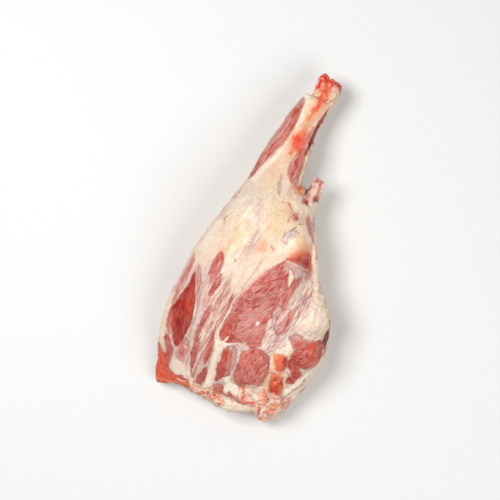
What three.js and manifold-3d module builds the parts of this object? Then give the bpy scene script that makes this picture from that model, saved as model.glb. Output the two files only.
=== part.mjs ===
// A raw leg of lamb with the shank on, lying on its outer side with the inner side up.
// Millimetres, +Z up, +Y towards the shank. The origin is on the surface that the leg lies on, under
// the middle of the leg's box. The front of the leg is at -X and the back, with the heel tendon, at +X.

import * as THREE from "three";
import { mergeVertices } from "three/addons/utils/BufferGeometryUtils.js";
import { ImprovedNoise } from "three/addons/math/ImprovedNoise.js";
import Module from "manifold-3d";

const wasm = await Module();
wasm.setup();

// Driving sizes
const BUTT_Y = -189; // the cut end at the hip
const MEAT_END_Y = 172; // where the shank's meat stops round the bone
const SECTION_FULLNESS = 0.86; // 1 is an ellipse, less is fuller
const EDGE_FADE = 45; // the cut edge's own line is followed this far up the leg
const TOP_SHARE = 0.66; // the share of the section's sides that lie above its widest line
const GAP = 0.3; // between a bone and its meat
const UNEVENNESS = 1; // the height of the skin's small swells
const SWELL_LENGTH = 23;

// How fine each skin is.
const LEG_GRID = { sides: 64, rows: 72 };
const LIMB_GRID = { sides: 12, rows: 9 };
const BONE_GRID = { sides: 16, rows: 20 };

// A skin's closed end takes these shares of its rows and of its length. Squareness under 1 makes a flat
// end with a round edge.
const BUTT_END = { rows: 0.07, length: 0.025, squareness: 0.5 };
const SHANK_END = { rows: 0.06, length: 0.02, squareness: 0.75 };
const LIMB_END = { rows: 0.2, length: 0.09, squareness: 0.8 };
const BONE_END = { rows: 0.14, length: 0.035, squareness: 0.7 };

// Each line is [place along Y, size there].
const FRONT_EDGE = [
  [-189, -82.6],
  [-160, -89.3],
  [-112, -95.2],
  [-60, -87.6],
  [-20, -78.3],
  [20, -62.2],
  [60, -46],
  [100, -35.8],
  [140, -22.2],
  [160, -14],
  [172, -9],
];
const BACK_EDGE = [
  [-189, 64],
  [-170, 74],
  [-140, 84.6],
  [-112, 93.9],
  [-85, 92.8],
  [-60, 86],
  [-40, 71],
  [-20, 60.2],
  [5, 53.2],
  [30, 43],
  [46, 36],
  [58, 22],
  [72, 14.5],
  [100, 15.2],
  [130, 17],
  [150, 20.5],
  [172, 21.5],
];
const CREST_X = [
  [-189, 8],
  [-110, 12],
  [-50, 4],
  [0, -8],
  [60, -14],
  [100, -9],
  [140, -2],
  [172, 7],
];
const TOP_Z = [
  [-189, 42],
  [-160, 60],
  [-122, 79],
  [-95, 86],
  [-50, 91],
  [-10, 92],
  [25, 87],
  [60, 74],
  [90, 64],
  [130, 56],
  [172, 49],
];
const UNDERSIDE_Z = [
  [-189, -3],
  [-140, -11],
  [0, -11],
  [35, -3],
  [70, 8],
  [110, 15],
  [172, 22],
];
const FRONT_WAIST_Z = [
  [-189, 11],
  [-140, 18],
  [-90, 27],
  [-30, 35],
  [50, 37],
  [172, 35],
];
const BACK_WAIST_Z = [
  [-189, 17],
  [-120, 31],
  [-60, 39],
  [50, 41],
  [172, 35],
];
// The cut edge's own line, as [x, how far it lies from BUTT_Y].
const CUT_EDGE_SHIFT = [
  [-83, -7],
  [-70, -1.5],
  [-58, 3.6],
  [-40, 0.6],
  [-20, -3],
  [0, -8.4],
  [16, -6.6],
  [31, -1.6],
  [47, -6],
  [62, 0],
];

// The inner side's forms. A lobe is an oval at x, y with half sizes, its long axis turned from +Y
// towards +X, that stands up by its rise; softness under 1 leaves a crease round it.
const LOBES = [
  { name: "inner thigh muscle", x: 8, y: -66, half: [30, 64], turn: 28, rise: 5, softness: 1.1 },
  { name: "knee fat", x: -28, y: 28, half: [40, 52], turn: -14, rise: 4, softness: 1.5 },
  { name: "calf", x: 32, y: 8, half: [18, 30], turn: -24, rise: 4, softness: 1.4 },
  { name: "back fat", x: 73, y: -68, half: [20, 28], turn: 24, rise: 6, softness: 1.1 },
  { name: "round muscle cut", x: 18, y: -142, half: [22, 27], turn: 8, rise: 6, softness: 1.1 },
  { name: "back muscle cut", x: 73, y: -109, half: [20, 19], turn: 40, rise: 5.5, softness: 1.2 },
  { name: "small back cut", x: 66, y: -138, half: [13, 16], turn: -24, rise: 3.5, softness: 1.2 },
  { name: "upper hip cut", x: 47, y: -127, half: [11, 15], turn: 8, rise: 3, softness: 1.3 },
  { name: "side muscle cut", x: -10, y: -142, half: [14, 28], turn: 4, rise: 3, softness: 1.3 },
  { name: "flank sheath", x: -60, y: -158, half: [18, 30], turn: 8, rise: 7, softness: 1.2 },
  { name: "flank flap", x: -82, y: -172, half: [19, 34], turn: 10, rise: -7, softness: 1.3 },
  { name: "front thigh window", x: -75, y: -103, half: [16, 42], turn: 3, rise: -3.5, softness: 1.2 },
  { name: "front strip", x: -56, y: -95, half: [14, 62], turn: 4, rise: 3, softness: 1.4 },
  { name: "front shin muscle", x: -26, y: 118, half: [12, 54], turn: 17, rise: 3.2, softness: 1.1 },
  { name: "back shin muscle", x: 8, y: 98, half: [10, 38], turn: 4, rise: 2.6, softness: 1.1 },
];
// A seam is a line on the inner side, with half its width, that lies lower by its depth or, where that
// is negative, stands up as a cord of fat or tendon.
const SEAMS = [
  { name: "sheath edge", path: [[14, -12], [-8, -44], [-26, -78], [-35, -114]], half: 8, depth: 3 },
  { name: "front seam", path: [[-42, -60], [-46, -110], [-43, -176]], half: 7, depth: 2.6 },
  { name: "fat strip", path: [[-26, -112], [-24, -140], [-23, -172]], half: 6.5, depth: -3.2 },
  { name: "under the round cut", path: [[-6, -172], [16, -169], [36, -164]], half: 7, depth: 3 },
  { name: "hip seam", path: [[37, -108], [38, -140], [38, -168]], half: 6.5, depth: 3.6 },
  { name: "back hip seam", path: [[55, -112], [57, -135], [62, -158]], half: 6.5, depth: 3 },
  { name: "back cord", path: [[52, 6], [58, -26], [66, -44]], half: 6.5, depth: -3 },
  { name: "calf seam", path: [[44, 0], [50, -22], [50, -46]], half: 8, depth: 4 },
  { name: "shin bone edge", path: [[-3, 62], [0, 105], [9, 142]], half: 4.5, depth: 1.6 },
  { name: "front shin edge", path: [[-32, 66], [-19, 105], [-9, 150]], half: 4.5, depth: 1.6 },
  { name: "back fat edge", path: [[48, -98], [68, -90], [92, -87]], half: 7, depth: 3.2 },
];
// The outer side's broad muscles meet in shallow furrows, as [x, y, z] points near the skin.
const FURROWS = [
  { name: "outer front furrow", path: [[-88, -150, 12], [-90, -80, 14], [-66, 0, 18]], half: 9, depth: 2.5 },
  { name: "outer back furrow", path: [[86, -130, 12], [86, -80, 14], [56, -20, 16]], half: 9, depth: 3 },
];

// Limbs that leave the leg's own skin. Each point is [x, y, z, half width, half height].
const LIMBS = {
  heelTendonFront: [
    [28, 20, 50, 12, 13],
    [29.5, 46, 46, 9, 11],
    [30, 64, 45, 6.8, 9],
    [30.2, 75, 46, 5.2, 7],
    [29.8, 83.6, 46, 4.2, 5.5],
  ],
  heelTendonBack: [
    [32, 40, 44, 7, 9],
    [33.5, 62, 44, 5.6, 8],
    [36.3, 74, 45, 5, 6.5],
    [37.6, 81.4, 45, 3.8, 4.8],
  ],
  calfTag: [
    [14, 42, 52, 10, 12],
    [16, 57, 50, 8, 10],
    [17, 68.5, 49, 5.6, 7],
  ],
  frontTendonEnd: [
    [-12, 146, 42, 4, 6],
    [-7, 162, 42, 4.4, 5.5],
    [-5.4, 172, 42, 4.2, 4.6],
  ],
  hockTag: [
    [16, 150, 38, 5, 8],
    [20, 163, 38, 4.6, 6.5],
    [25.4, 175.5, 38, 2.6, 4.2],
  ],
  cutEdgeLean: [
    [34.5, -164, 26, 8, 13],
    [37, -184, 21, 6, 11],
    [39, -196.5, 17, 4, 8],
  ],
  hipCornerFat: [
    [52, -158, 25, 19, 16],
    [52, -182, 19, 14, 14],
    [47.8, -200, 14, 6, 9],
  ],
};

// The shin bone runs from the knee, inside the meat, out to the bare knuckle.
const SHIN_BONE = [
  [-22, 24, 46, 9, 9],
  [-13, 76, 42, 8.6, 8.6],
  [-2, 124, 38, 8.4, 8.4],
  [8, 158, 36, 9.8, 8.8],
  [13.6, 180, 35, 13.2, 10.6],
  [15.4, 192, 35, 13.4, 9],
];
// The knuckle's ridges, each [x, y, z, radii along X, Y and Z].
const KNUCKLES = [
  [7.4, 186, 36.6, 7, 14, 8.8],
  [16.4, 184.2, 38.2, 5.6, 12, 8],
  [23.6, 181.6, 36.4, 6, 12.4, 8.8],
  [9, 185, 32.4, 7.2, 12.6, 8],
  [21, 183, 32, 7.2, 11.6, 7.6],
];
// The hip bone's sawn edge shows at the cut, from inside the meat to the lowest corner.
const HIP_BONE = [
  [49, -144, 54, 6, 8],
  [50, -160, 50, 8, 9],
  [53, -174, 43, 8.6, 9],
  [52, -190, 31, 7, 8],
];

const COLOURS = {
  meat: { color: 0xd98f83, roughness: 0.42 },
  bone: { color: 0xe9c9a4, roughness: 0.5 },
  hip: { color: 0xdb8a6c, roughness: 0.55 },
};

const noise = new ImprovedNoise();
const radians = THREE.MathUtils.degToRad;
const ease = THREE.MathUtils.smoothstep;

// A smooth function through the lines of a table, held at its first and last values.
function through(table) {
  const slope = (i) => {
    const a = table[Math.max(i - 1, 0)];
    const b = table[Math.min(i + 1, table.length - 1)];
    return (b[1] - a[1]) / (b[0] - a[0]);
  };
  return (at) => {
    const place = THREE.MathUtils.clamp(at, table[0][0], table[table.length - 1][0]);
    const i = Math.max(0, table.findLastIndex((line, k) => line[0] <= place && k < table.length - 1));
    const [from, start] = table[i];
    const [to, end] = table[i + 1];
    const span = to - from;
    const t = (place - from) / span;
    const bend = t * t * (3 - 2 * t);
    const lead = span * t * (1 - t) * (1 - t) * slope(i);
    const follow = -span * t * t * (1 - t) * slope(i + 1);
    return start + (end - start) * bend + lead + follow;
  };
}

const frontEdge = through(FRONT_EDGE);
const backEdge = through(BACK_EDGE);
const crestX = through(CREST_X);
const topZ = through(TOP_Z);
const undersideZ = through(UNDERSIDE_Z);
const frontWaistZ = through(FRONT_WAIST_Z);
const backWaistZ = through(BACK_WAIST_Z);
const cutEdgeShift = through(CUT_EDGE_SHIFT);

// A closed skin made from a sphere's vertices. place(share, angle) says where each one goes: share runs
// from 0 at the -Y pole to 1 at the +Y pole, and the angle runs from -X over the top to +X and back.
function skin(sides, rows, place) {
  const geometry = new THREE.SphereGeometry(1, sides, rows);
  const position = geometry.getAttribute("position");
  const uv = geometry.getAttribute("uv");
  const pole = (share) => share === 0 || share === 1;
  for (let i = 0; i < position.count; i++) {
    const share = uv.getY(i);
    const turn = pole(share) ? 0 : uv.getX(i) % 1;
    position.setXYZ(i, ...place(share, turn * 2 * Math.PI));
  }
  geometry.deleteAttribute("normal");
  geometry.deleteAttribute("uv");
  return mergeVertices(geometry);
}

function solidOf(geometry) {
  return new wasm.Manifold(
    new wasm.Mesh({
      numProp: 3,
      vertProperties: geometry.getAttribute("position").array,
      triVerts: new Uint32Array(geometry.index.array),
    }),
  );
}

function geometryOf(solid) {
  const mesh = solid.getMesh();
  return new THREE.BufferGeometry()
    .setAttribute("position", new THREE.BufferAttribute(mesh.vertProperties, 3))
    .setIndex(new THREE.BufferAttribute(mesh.triVerts, 1));
}

const signedPower = (value, power) => Math.sign(value) * Math.abs(value) ** power;

// One row of a closed skin: how far along it lies, from 0 to 1, and how much of its section it has.
function row(share, start, end) {
  const closing = (part, { rows, length, squareness }) => {
    const turn = (part / rows) * (Math.PI / 2);
    return {
      grow: Math.sin(turn) ** squareness,
      along: length * (1 - Math.cos(turn) ** squareness),
    };
  };
  if (share < start.rows) return closing(share, start);
  if (1 - share < end.rows) {
    const { grow, along } = closing(1 - share, end);
    return { grow, along: 1 - along };
  }
  const body = (share - start.rows) / (1 - start.rows - end.rows);
  return { grow: 1, along: THREE.MathUtils.lerp(start.length, 1 - end.length, body) };
}

// A point of the plain leg, before its muscles are raised.
function plainPoint(share, angle) {
  const { grow, along } = row(share, BUTT_END, SHANK_END);
  const y = THREE.MathUtils.lerp(BUTT_Y, MEAT_END_Y, along);
  const side = -signedPower(Math.cos(angle), SECTION_FULLNESS);
  const lift = signedPower(Math.sin(angle), SECTION_FULLNESS);
  const crest = crestX(y);
  const reach = side < 0 ? crest - frontEdge(y) : backEdge(y) - crest;
  const across = (crest + reach * side - frontEdge(y)) / (backEdge(y) - frontEdge(y));
  const waist = THREE.MathUtils.lerp(frontWaistZ(y), backWaistZ(y), across);
  const height = lift > 0 ? topZ(y) - waist : waist - undersideZ(y);
  const middle = THREE.MathUtils.lerp(frontWaistZ(y), backWaistZ(y), 0.5);
  const x = crest + reach * side * grow;
  const z = middle + (waist + height * lift - middle) * grow;
  const fade = 1 - ease(y, BUTT_Y, BUTT_Y + EDGE_FADE);
  return new THREE.Vector3(x, y + cutEdgeShift(x) * fade, Math.max(z, 0));
}

// How far a point lies from a path of two or three coordinates.
function distanceTo(path, point) {
  const flat = path[0].length === 2;
  const at = new THREE.Vector3(point.x, point.y, flat ? 0 : point.z);
  const nearest = new THREE.Vector3();
  let least = Infinity;
  for (let i = 0; i + 1 < path.length; i++) {
    const [from, to] = [path[i], path[i + 1]].map(([x, y, z = 0]) => new THREE.Vector3(x, y, z));
    new THREE.Line3(from, to).closestPointToPoint(at, true, nearest);
    least = Math.min(least, nearest.distanceTo(at));
  }
  return least;
}

// How far the skin stands up at a point of the plain leg, along its normal.
function relief(point, normal) {
  const inner = ease(normal.z, 0.05, 0.5);
  let height = 0;
  for (const { x, y, half, turn, rise, softness } of LOBES) {
    const [s, c] = [Math.sin(radians(turn)), Math.cos(radians(turn))];
    const along = (point.x - x) * s + (point.y - y) * c;
    const across = (point.x - x) * c - (point.y - y) * s;
    const inside = 1 - (across / half[0]) ** 2 - (along / half[1]) ** 2;
    if (inside > 0) height += rise * inside ** softness * inner;
  }
  for (const { path, half, depth } of SEAMS) {
    height -= depth * Math.exp(-((distanceTo(path, point) / half) ** 2)) * inner;
  }
  for (const { path, half, depth } of FURROWS) {
    height -= depth * Math.exp(-((distanceTo(path, point) / half) ** 2));
  }
  const [a, b, c] = point.toArray().map((value) => value / SWELL_LENGTH);
  return height + UNEVENNESS * (noise.noise(a, b, c) + 0.5 * noise.noise(2 * a, 2 * b, 2 * c));
}

// A point of the leg with its relief. More of the sides lie on the inner side, which has more to show.
function legPoint(share, evenAngle) {
  const round = evenAngle / (2 * Math.PI);
  const angle =
    round < TOP_SHARE
      ? (round / TOP_SHARE) * Math.PI
      : Math.PI * (1 + (round - TOP_SHARE) / (1 - TOP_SHARE));
  const point = plainPoint(share, angle);
  if (share === 0 || share === 1) return point.toArray();
  const step = 1e-3;
  const alongLeg = plainPoint(Math.min(share + step, 1 - step), angle).sub(
    plainPoint(Math.max(share - step, step), angle),
  );
  const roundLeg = plainPoint(share, angle + step).sub(plainPoint(share, angle - step));
  const normal = roundLeg.cross(alongLeg).normalize();
  const raised = point.clone().addScaledVector(normal, relief(point, normal));
  raised.z = Math.max(raised.z, 0);
  return raised.toArray();
}

// A round body along its points, made larger all round by grow.
function limb(points, { grow = 0, grid = LIMB_GRID, end = LIMB_END } = {}) {
  const last = points.length - 1;
  const [x, y, z, wide, high] = [0, 1, 2, 3, 4].map((k) =>
    through(points.map((point, i) => [i / last, point[k]])),
  );
  const rising = points[last][1] > points[0][1];
  return solidOf(
    skin(grid.sides, grid.rows, (share, angle) => {
      const section = row(share, end, end);
      const at = rising ? section.along : 1 - section.along;
      return [
        x(at) - Math.cos(angle) * (wide(at) + grow) * section.grow,
        y(at) + (2 * share - 1) * grow,
        z(at) + Math.sin(angle) * (high(at) + grow) * section.grow,
      ];
    }),
  );
}

function knuckle([x, y, z, wide, long, high], grow) {
  const geometry = new THREE.SphereGeometry(1, LIMB_GRID.sides, LIMB_GRID.rows);
  geometry.deleteAttribute("normal");
  geometry.deleteAttribute("uv");
  geometry.scale(wide + grow, long + grow, high + grow).translate(x, y, z);
  return solidOf(mergeVertices(geometry));
}

const joined = (solids) => solids.reduce((whole, solid) => whole.add(solid));

function shinBone(grow = 0) {
  const shaft = limb(SHIN_BONE, { grow, grid: BONE_GRID, end: BONE_END });
  return joined([shaft, ...KNUCKLES.map((ridge) => knuckle(ridge, grow))]);
}

function hipBone(grow = 0) {
  return limb(HIP_BONE, { grow });
}

function meat() {
  const body = solidOf(skin(LEG_GRID.sides, LEG_GRID.rows, legPoint));
  const limbs = Object.values(LIMBS).map((points) => limb(points));
  return joined([body, ...limbs]).subtract(shinBone(GAP)).subtract(hipBone(GAP));
}

function named(name, solid, finish) {
  const mesh = new THREE.Mesh(geometryOf(solid), new THREE.MeshStandardMaterial(finish));
  mesh.name = name;
  return mesh;
}

const leg = new THREE.Group();
leg.add(
  named("leg_meat", meat(), COLOURS.meat),
  named("shin_bone", shinBone(), COLOURS.bone),
  named("hip_bone", hipBone(), COLOURS.hip),
);

export default leg;
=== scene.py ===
"""A raw leg of lamb on its outer side, with the inner side up, in a plain bright studio.

The leg's frame is the part's own: +Y runs to the shank, +X to the back of the leg and +Z up. Sizes here
are in millimetres unless a name says otherwise, and turn into metres where a mesh is made.
"""

from __future__ import annotations

import itertools
import logging
import math
from dataclasses import dataclass, field
from enum import Enum
from typing import Any

import bmesh
import bpy
import numpy as np
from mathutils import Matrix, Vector
from mathutils.bvhtree import BVHTree

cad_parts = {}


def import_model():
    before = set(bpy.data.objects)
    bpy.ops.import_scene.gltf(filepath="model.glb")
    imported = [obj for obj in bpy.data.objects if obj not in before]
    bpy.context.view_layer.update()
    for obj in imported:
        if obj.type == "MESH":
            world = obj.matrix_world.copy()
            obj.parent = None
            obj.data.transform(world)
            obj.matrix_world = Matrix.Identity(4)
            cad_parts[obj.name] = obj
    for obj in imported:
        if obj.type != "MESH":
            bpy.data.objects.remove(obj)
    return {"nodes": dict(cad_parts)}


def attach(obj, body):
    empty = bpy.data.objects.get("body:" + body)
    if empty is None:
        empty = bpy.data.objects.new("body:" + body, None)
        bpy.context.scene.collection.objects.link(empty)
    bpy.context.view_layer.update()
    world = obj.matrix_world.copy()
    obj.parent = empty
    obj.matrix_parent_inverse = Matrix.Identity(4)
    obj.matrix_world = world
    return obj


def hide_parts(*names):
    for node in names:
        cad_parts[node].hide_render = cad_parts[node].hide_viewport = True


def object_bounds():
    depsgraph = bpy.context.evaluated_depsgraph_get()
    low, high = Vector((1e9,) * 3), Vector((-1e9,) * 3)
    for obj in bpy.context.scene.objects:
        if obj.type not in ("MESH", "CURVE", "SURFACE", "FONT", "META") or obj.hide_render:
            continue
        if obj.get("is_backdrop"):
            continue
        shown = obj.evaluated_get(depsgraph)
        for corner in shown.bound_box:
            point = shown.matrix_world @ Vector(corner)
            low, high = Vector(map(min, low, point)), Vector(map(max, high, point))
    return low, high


LOG = logging.getLogger("leg_of_lamb")
MM = 0.001

Array = np.ndarray
Point = tuple[float, float]

# The light that the wet film adds to each colour, and the least that it leaves of one
WET_FILM = 0.065
LEAST_COLOUR = 0.3

# The lattice noise: how it mixes a place and a seed, the span of its sum, and how rough the layers' is
PLACE_MIX = (73856093, 19349663, 83492791)
SEED_MIX = 2654435
LAST_MIX = 1274126177
NOISE_SPAN = 1.4
ROUGH = 0.62

# Fibres: how long they look, which way they run at first and where no layer says, and how far they wave
LONG_FIBRE = 0.09
CUT_FIBRE = 0.22
FIRST_TURN = 5.0
PLAIN_TURN = 15.0
STREAK = 0.4
FIBRE_WAVE = 1.6

# The fibres' turn over the shank, what the thigh adds to it, and where across the thigh it does
SHANK_TURN = 8
THIGH_TURN = 22
THIGH_MIDDLE = 5
THIGH_SPREAD = 45

# Where the flesh meets a bone: the room that is searched, how near counts as touching and as near, and
# how high the flesh stands below the bone and at least
BONE_ROOM = 4
BONE_TOUCH = 1.5
BONE_NEAR = 3
LOW_LIP = 0.25
LEAST_LIP = 0.3

# Borders of layers: how far they wander, how soft they are, and what is added to a layer's seed
WANDER = 2.1
WANDER_SIZE = 4.5
SOFTNESS = 0.5
SOFT_SPOTS = 1.6
SOFT_SEED = 90
PATCH_SEED = 50
NEXT_SEED = 7

# Relief: its strength, how deep the creases at the layers' borders sink, and how strong and how dark red the
# painted shade in the creases is
RELIEF = 1.3
CREASE = 0.35
CREASE_SHADE_SHARE = 0.13
CREASE_SHADE_COLOUR = np.array([0.3, 0.05, 0.035])

# How far the patterns on the outer side and on the steep flanks stray
OUTER_SWING = 16.0
FLANK_STRAY = np.array([5.0, 20.0])

# Colours of the flesh's finish, in linear light. The muscle's darker and lighter colours and the fat's
# hollow and light colours are partly painted shade in the bump's hollows and painted light on its tops; the
# pale marbling colour and the strands' white also serve as painted wet glints
MUSCLE_SHADE = (0.58, 0.27, 0.24, 1)
MUSCLE_LIGHT = (0.74, 0.26, 0.21, 1)
MARBLING_AND_GLINT = (0.82, 0.46, 0.38, 1)
GAP_PINK = (0.78, 0.5, 0.48, 1)
STRAND_AND_GLINT = (0.95, 0.84, 0.76, 1)
FAT_SHADE = (0.94, 0.86, 0.78, 1)
FAT_HOLLOW_SHADE = (0.86, 0.74, 0.64, 1)
FAT_LIGHT = (0.98, 0.92, 0.82, 1)
VEIN = (0.86, 0.6, 0.55, 1)


# Pigments and tissues


@dataclass(frozen=True)
class Pigment:
    """What a tissue looks like.

    Attributes:
        red: The screen's red, from 0 to 255, and so on for green and blue.
        green: The screen's green.
        blue: The screen's blue.
        fibre: How much muscle fibre shows, from 0 to 1.
        sheen: How wet and smooth it is, from 0 to 1.
    """

    red: int
    green: int
    blue: int
    fibre: float
    sheen: float

    def linear(self) -> Array:
        """The colour in linear light, without the light that the wet film on it adds.

        Returns:
            Red, green and blue from 0 to 1.
        """
        screen = np.array([self.red, self.green, self.blue]) / 255
        seen = np.where(screen <= 0.04045, screen / 12.92, ((screen + 0.055) / 1.055) ** 2.4)
        return np.maximum(seen - WET_FILM, seen * LEAST_COLOUR)


class Tissue(Enum):
    """What the leg is made of, where it shows; some of these colours are also laid as painted shade and
    painted highlight.
    """

    FAT = Pigment(246, 224, 200, 0.0, 0.45)
    WHITE_FAT = Pigment(250, 237, 219, 0.0, 0.45)
    PEACH_FAT = Pigment(240, 200, 166, 0.0, 0.4)
    BLUSH = Pigment(252, 218, 198, 0.05, 0.5)
    YELLOW_FAT = Pigment(246, 221, 177, 0.0, 0.45)
    ORANGE = Pigment(242, 168, 126, 0.16, 0.5)
    MEMBRANE = Pigment(238, 206, 195, 0.12, 0.75)
    PINK_MEMBRANE = Pigment(232, 178, 171, 0.3, 0.7)
    LILAC = Pigment(228, 198, 196, 0.05, 0.75)
    # A grey cream: painted shade on the knee's fat, and also laid on the shin's knuckle
    GREY_CREAM = Pigment(229, 214, 200, 0.0, 0.5)
    MAUVE = Pigment(212, 184, 174, 0.1, 0.6)
    ROSE = Pigment(214, 146, 138, 0.5, 0.6)
    PALE_LEAN = Pigment(225, 149, 139, 0.75, 0.6)
    LEAN = Pigment(217, 120, 110, 0.95, 0.58)
    RED_LEAN = Pigment(214, 94, 78, 0.85, 0.55)
    DEEP_LEAN = Pigment(184, 66, 48, 0.35, 0.4)
    MAROON = Pigment(128, 34, 28, 0.3, 0.1)
    FLAME_LEAN = Pigment(236, 106, 68, 0.45, 0.5)
    CORAL = Pigment(250, 138, 102, 0.3, 0.5)
    BLOOD = Pigment(240, 66, 44, 0.3, 0.45)
    BROWN = Pigment(126, 62, 44, 0.3, 0.2)
    BONE = Pigment(238, 205, 172, 0.0, 0.4)
    MARROW = Pigment(226, 132, 106, 0.2, 0.6)
    GRISTLE = Pigment(246, 230, 216, 0.0, 0.7)


# The tissues by their own names, in the order above
(FAT, WHITE_FAT, PEACH_FAT, BLUSH, YELLOW_FAT, ORANGE, MEMBRANE, PINK_MEMBRANE, LILAC, GREY_CREAM, MAUVE,
 ROSE, PALE_LEAN, LEAN, RED_LEAN, DEEP_LEAN, MAROON, FLAME_LEAN, CORAL, BLOOD, BROWN, BONE, MARROW,
 GRISTLE) = Tissue


# Noise for wandering edges and patchy cover


def lattice_noise(points: Array, size: float, seed: int) -> Array:
    """Smooth noise on a cubic lattice.

    Args:
        points: Places in millimetres, one in each row.
        size: The distance between lattice points.
        seed: Picks the pattern.

    Returns:
        One value from -1 to 1 for each place.
    """
    grid = points / size
    cell = np.floor(grid).astype(np.int64)
    part = grid - cell
    part = part * part * (3 - 2 * part)
    total = np.zeros(len(points))
    for corner in itertools.product((0, 1), repeat=points.shape[1]):
        place = cell + np.array(corner)
        key = place @ np.array(PLACE_MIX[: points.shape[1]]) + seed * SEED_MIX
        key = (key ^ (key >> 13)) * LAST_MIX
        value = ((key ^ (key >> 16)) & 0xFFFF) / 32767.5 - 1
        weight = np.where(np.array(corner) == 1, part, 1 - part).prod(axis=1)
        total += value * weight
    return total


def fractal_noise(points: Array, size: float, seed: int, octaves: int = 3, fall: float = 0.5) -> Array:
    """Lattice noise summed over finer and finer sizes.

    Args:
        points: Places in millimetres, one in each row.
        size: The distance between lattice points of the coarsest noise.
        seed: Picks the pattern.
        octaves: How many sizes are summed.
        fall: How strong each size is next to the one before.

    Returns:
        One value from about -1 to 1 for each place.
    """
    total = np.zeros(len(points))
    for octave in range(octaves):
        total += lattice_noise(points, size / 2**octave, seed + octave) * fall**octave
    return total / NOISE_SPAN


def ease(values: Array, low: float, high: float) -> Array:
    """A smooth step from 0 at low to 1 at high."""
    share = np.clip((values - low) / (high - low), 0, 1)
    return share * share * (3 - 2 * share)


# Shapes that layers fill, seen from above the inner side


def rounded(line: Array, closed: bool, passes: int = 2) -> Array:
    """A line with its corners cut until they are round.

    Args:
        line: The line's points, one in each row.
        closed: Whether the last point joins the first.
        passes: How often the corners are cut.

    Returns:
        The rounder line's points.
    """
    for _ in range(passes):
        following = np.roll(line, -1, axis=0) if closed else line[1:]
        leading = line if closed else line[:-1]
        pairs = np.stack([leading * 0.75 + following * 0.25, leading * 0.25 + following * 0.75], axis=1)
        cut = pairs.reshape(-1, line.shape[1])
        line = cut if closed else np.vstack([line[:1], cut, line[-1:]])
    return line


def nearest_on(line: Array, spots: Array) -> tuple[Array, Array]:
    """How far spots lie from an open line.

    Args:
        line: The line's points, one in each row, with further columns after x and y.
        spots: Places as x and y.

    Returns:
        Each spot's distance, and the line's further columns where it is nearest.
    """
    least = np.full(len(spots), np.inf)
    carried = np.zeros((len(spots), line.shape[1] - 2))
    for start, end in zip(line[:-1], line[1:]):
        run = end[:2] - start[:2]
        share = np.clip((spots - start[:2]) @ run / max(run @ run, 1e-9), 0, 1)
        gap = np.linalg.norm(spots - start[:2] - share[:, None] * run, axis=1)
        closer = gap < least
        least = np.where(closer, gap, least)
        here = start[2:] + share[:, None] * (end[2:] - start[2:])
        carried = np.where(closer[:, None], here, carried)
    return least, carried


@dataclass(frozen=True)
class Area:
    """A closed outline with round corners."""

    corners: tuple[Point, ...]

    def limits(self) -> tuple[Array, Array]:
        """The lowest and highest x and y."""
        points = np.array(self.corners, float)
        return points.min(axis=0), points.max(axis=0)

    def depth(self, spots: Array) -> Array:
        """Measures how far inside the outline some spots lie.

        Args:
            spots: Places as x and y.

        Returns:
            Each spot's distance from the outline, negative outside.
        """
        line = rounded(np.array(self.corners, float), closed=True)
        ring = np.vstack([line, line[:1]])
        gap, _ = nearest_on(ring, spots)
        inside = np.zeros(len(spots), bool)
        for (x0, y0), (x1, y1) in zip(ring[:-1], ring[1:]):
            crosses = (y0 > spots[:, 1]) != (y1 > spots[:, 1])
            rise = y1 - y0 if y1 != y0 else 1e-9
            inside ^= crosses & (spots[:, 0] < x0 + (spots[:, 1] - y0) * (x1 - x0) / rise)
        return np.where(inside, gap, -gap)


@dataclass(frozen=True)
class Stroke:
    """A line with a width, which may change along it. Each point is x, y and half the width there."""

    points: tuple[tuple[float, float, float], ...]

    def limits(self) -> tuple[Array, Array]:
        """Finds the room that the line takes.

        Returns:
            The lowest and highest x and y.
        """
        points = np.array(self.points, float)
        reach = self.half()
        return points[:, :2].min(axis=0) - reach, points[:, :2].max(axis=0) + reach

    def half(self) -> float:
        """Half the width where it is broadest."""
        return max(point[2] for point in self.points)

    def depth(self, spots: Array) -> Array:
        """Measures how far inside the stroke's edge some spots lie.

        Args:
            spots: Places as x and y.

        Returns:
            Each spot's distance from the edge, negative outside.
        """
        line = rounded(np.array(self.points, float), closed=False)
        gap, half = nearest_on(line, spots)
        return half[:, 0] - gap


@dataclass(frozen=True)
class Oval:
    """An oval whose long axis is turned from +Y towards +X, in degrees."""

    x: float
    y: float
    across: float
    along: float
    turn: float = 0.0

    def limits(self) -> tuple[Array, Array]:
        """Finds the room that the oval takes at any turn.

        Returns:
            The lowest and highest x and y.
        """
        reach = max(self.across, self.along)
        middle = np.array([self.x, self.y])
        return middle - reach, middle + reach

    def depth(self, spots: Array) -> Array:
        """Measures about how far inside the oval some spots lie.

        Args:
            spots: Places as x and y.

        Returns:
            About each spot's distance from the edge, negative outside.
        """
        angle = math.radians(self.turn)
        dx, dy = spots[:, 0] - self.x, spots[:, 1] - self.y
        up = dx * math.sin(angle) + dy * math.cos(angle)
        side = dx * math.cos(angle) - dy * math.sin(angle)
        radius = np.hypot(side / self.across, up / self.along)
        return (1 - radius) * min(self.across, self.along)


Shape = Area | Stroke | Oval


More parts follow.
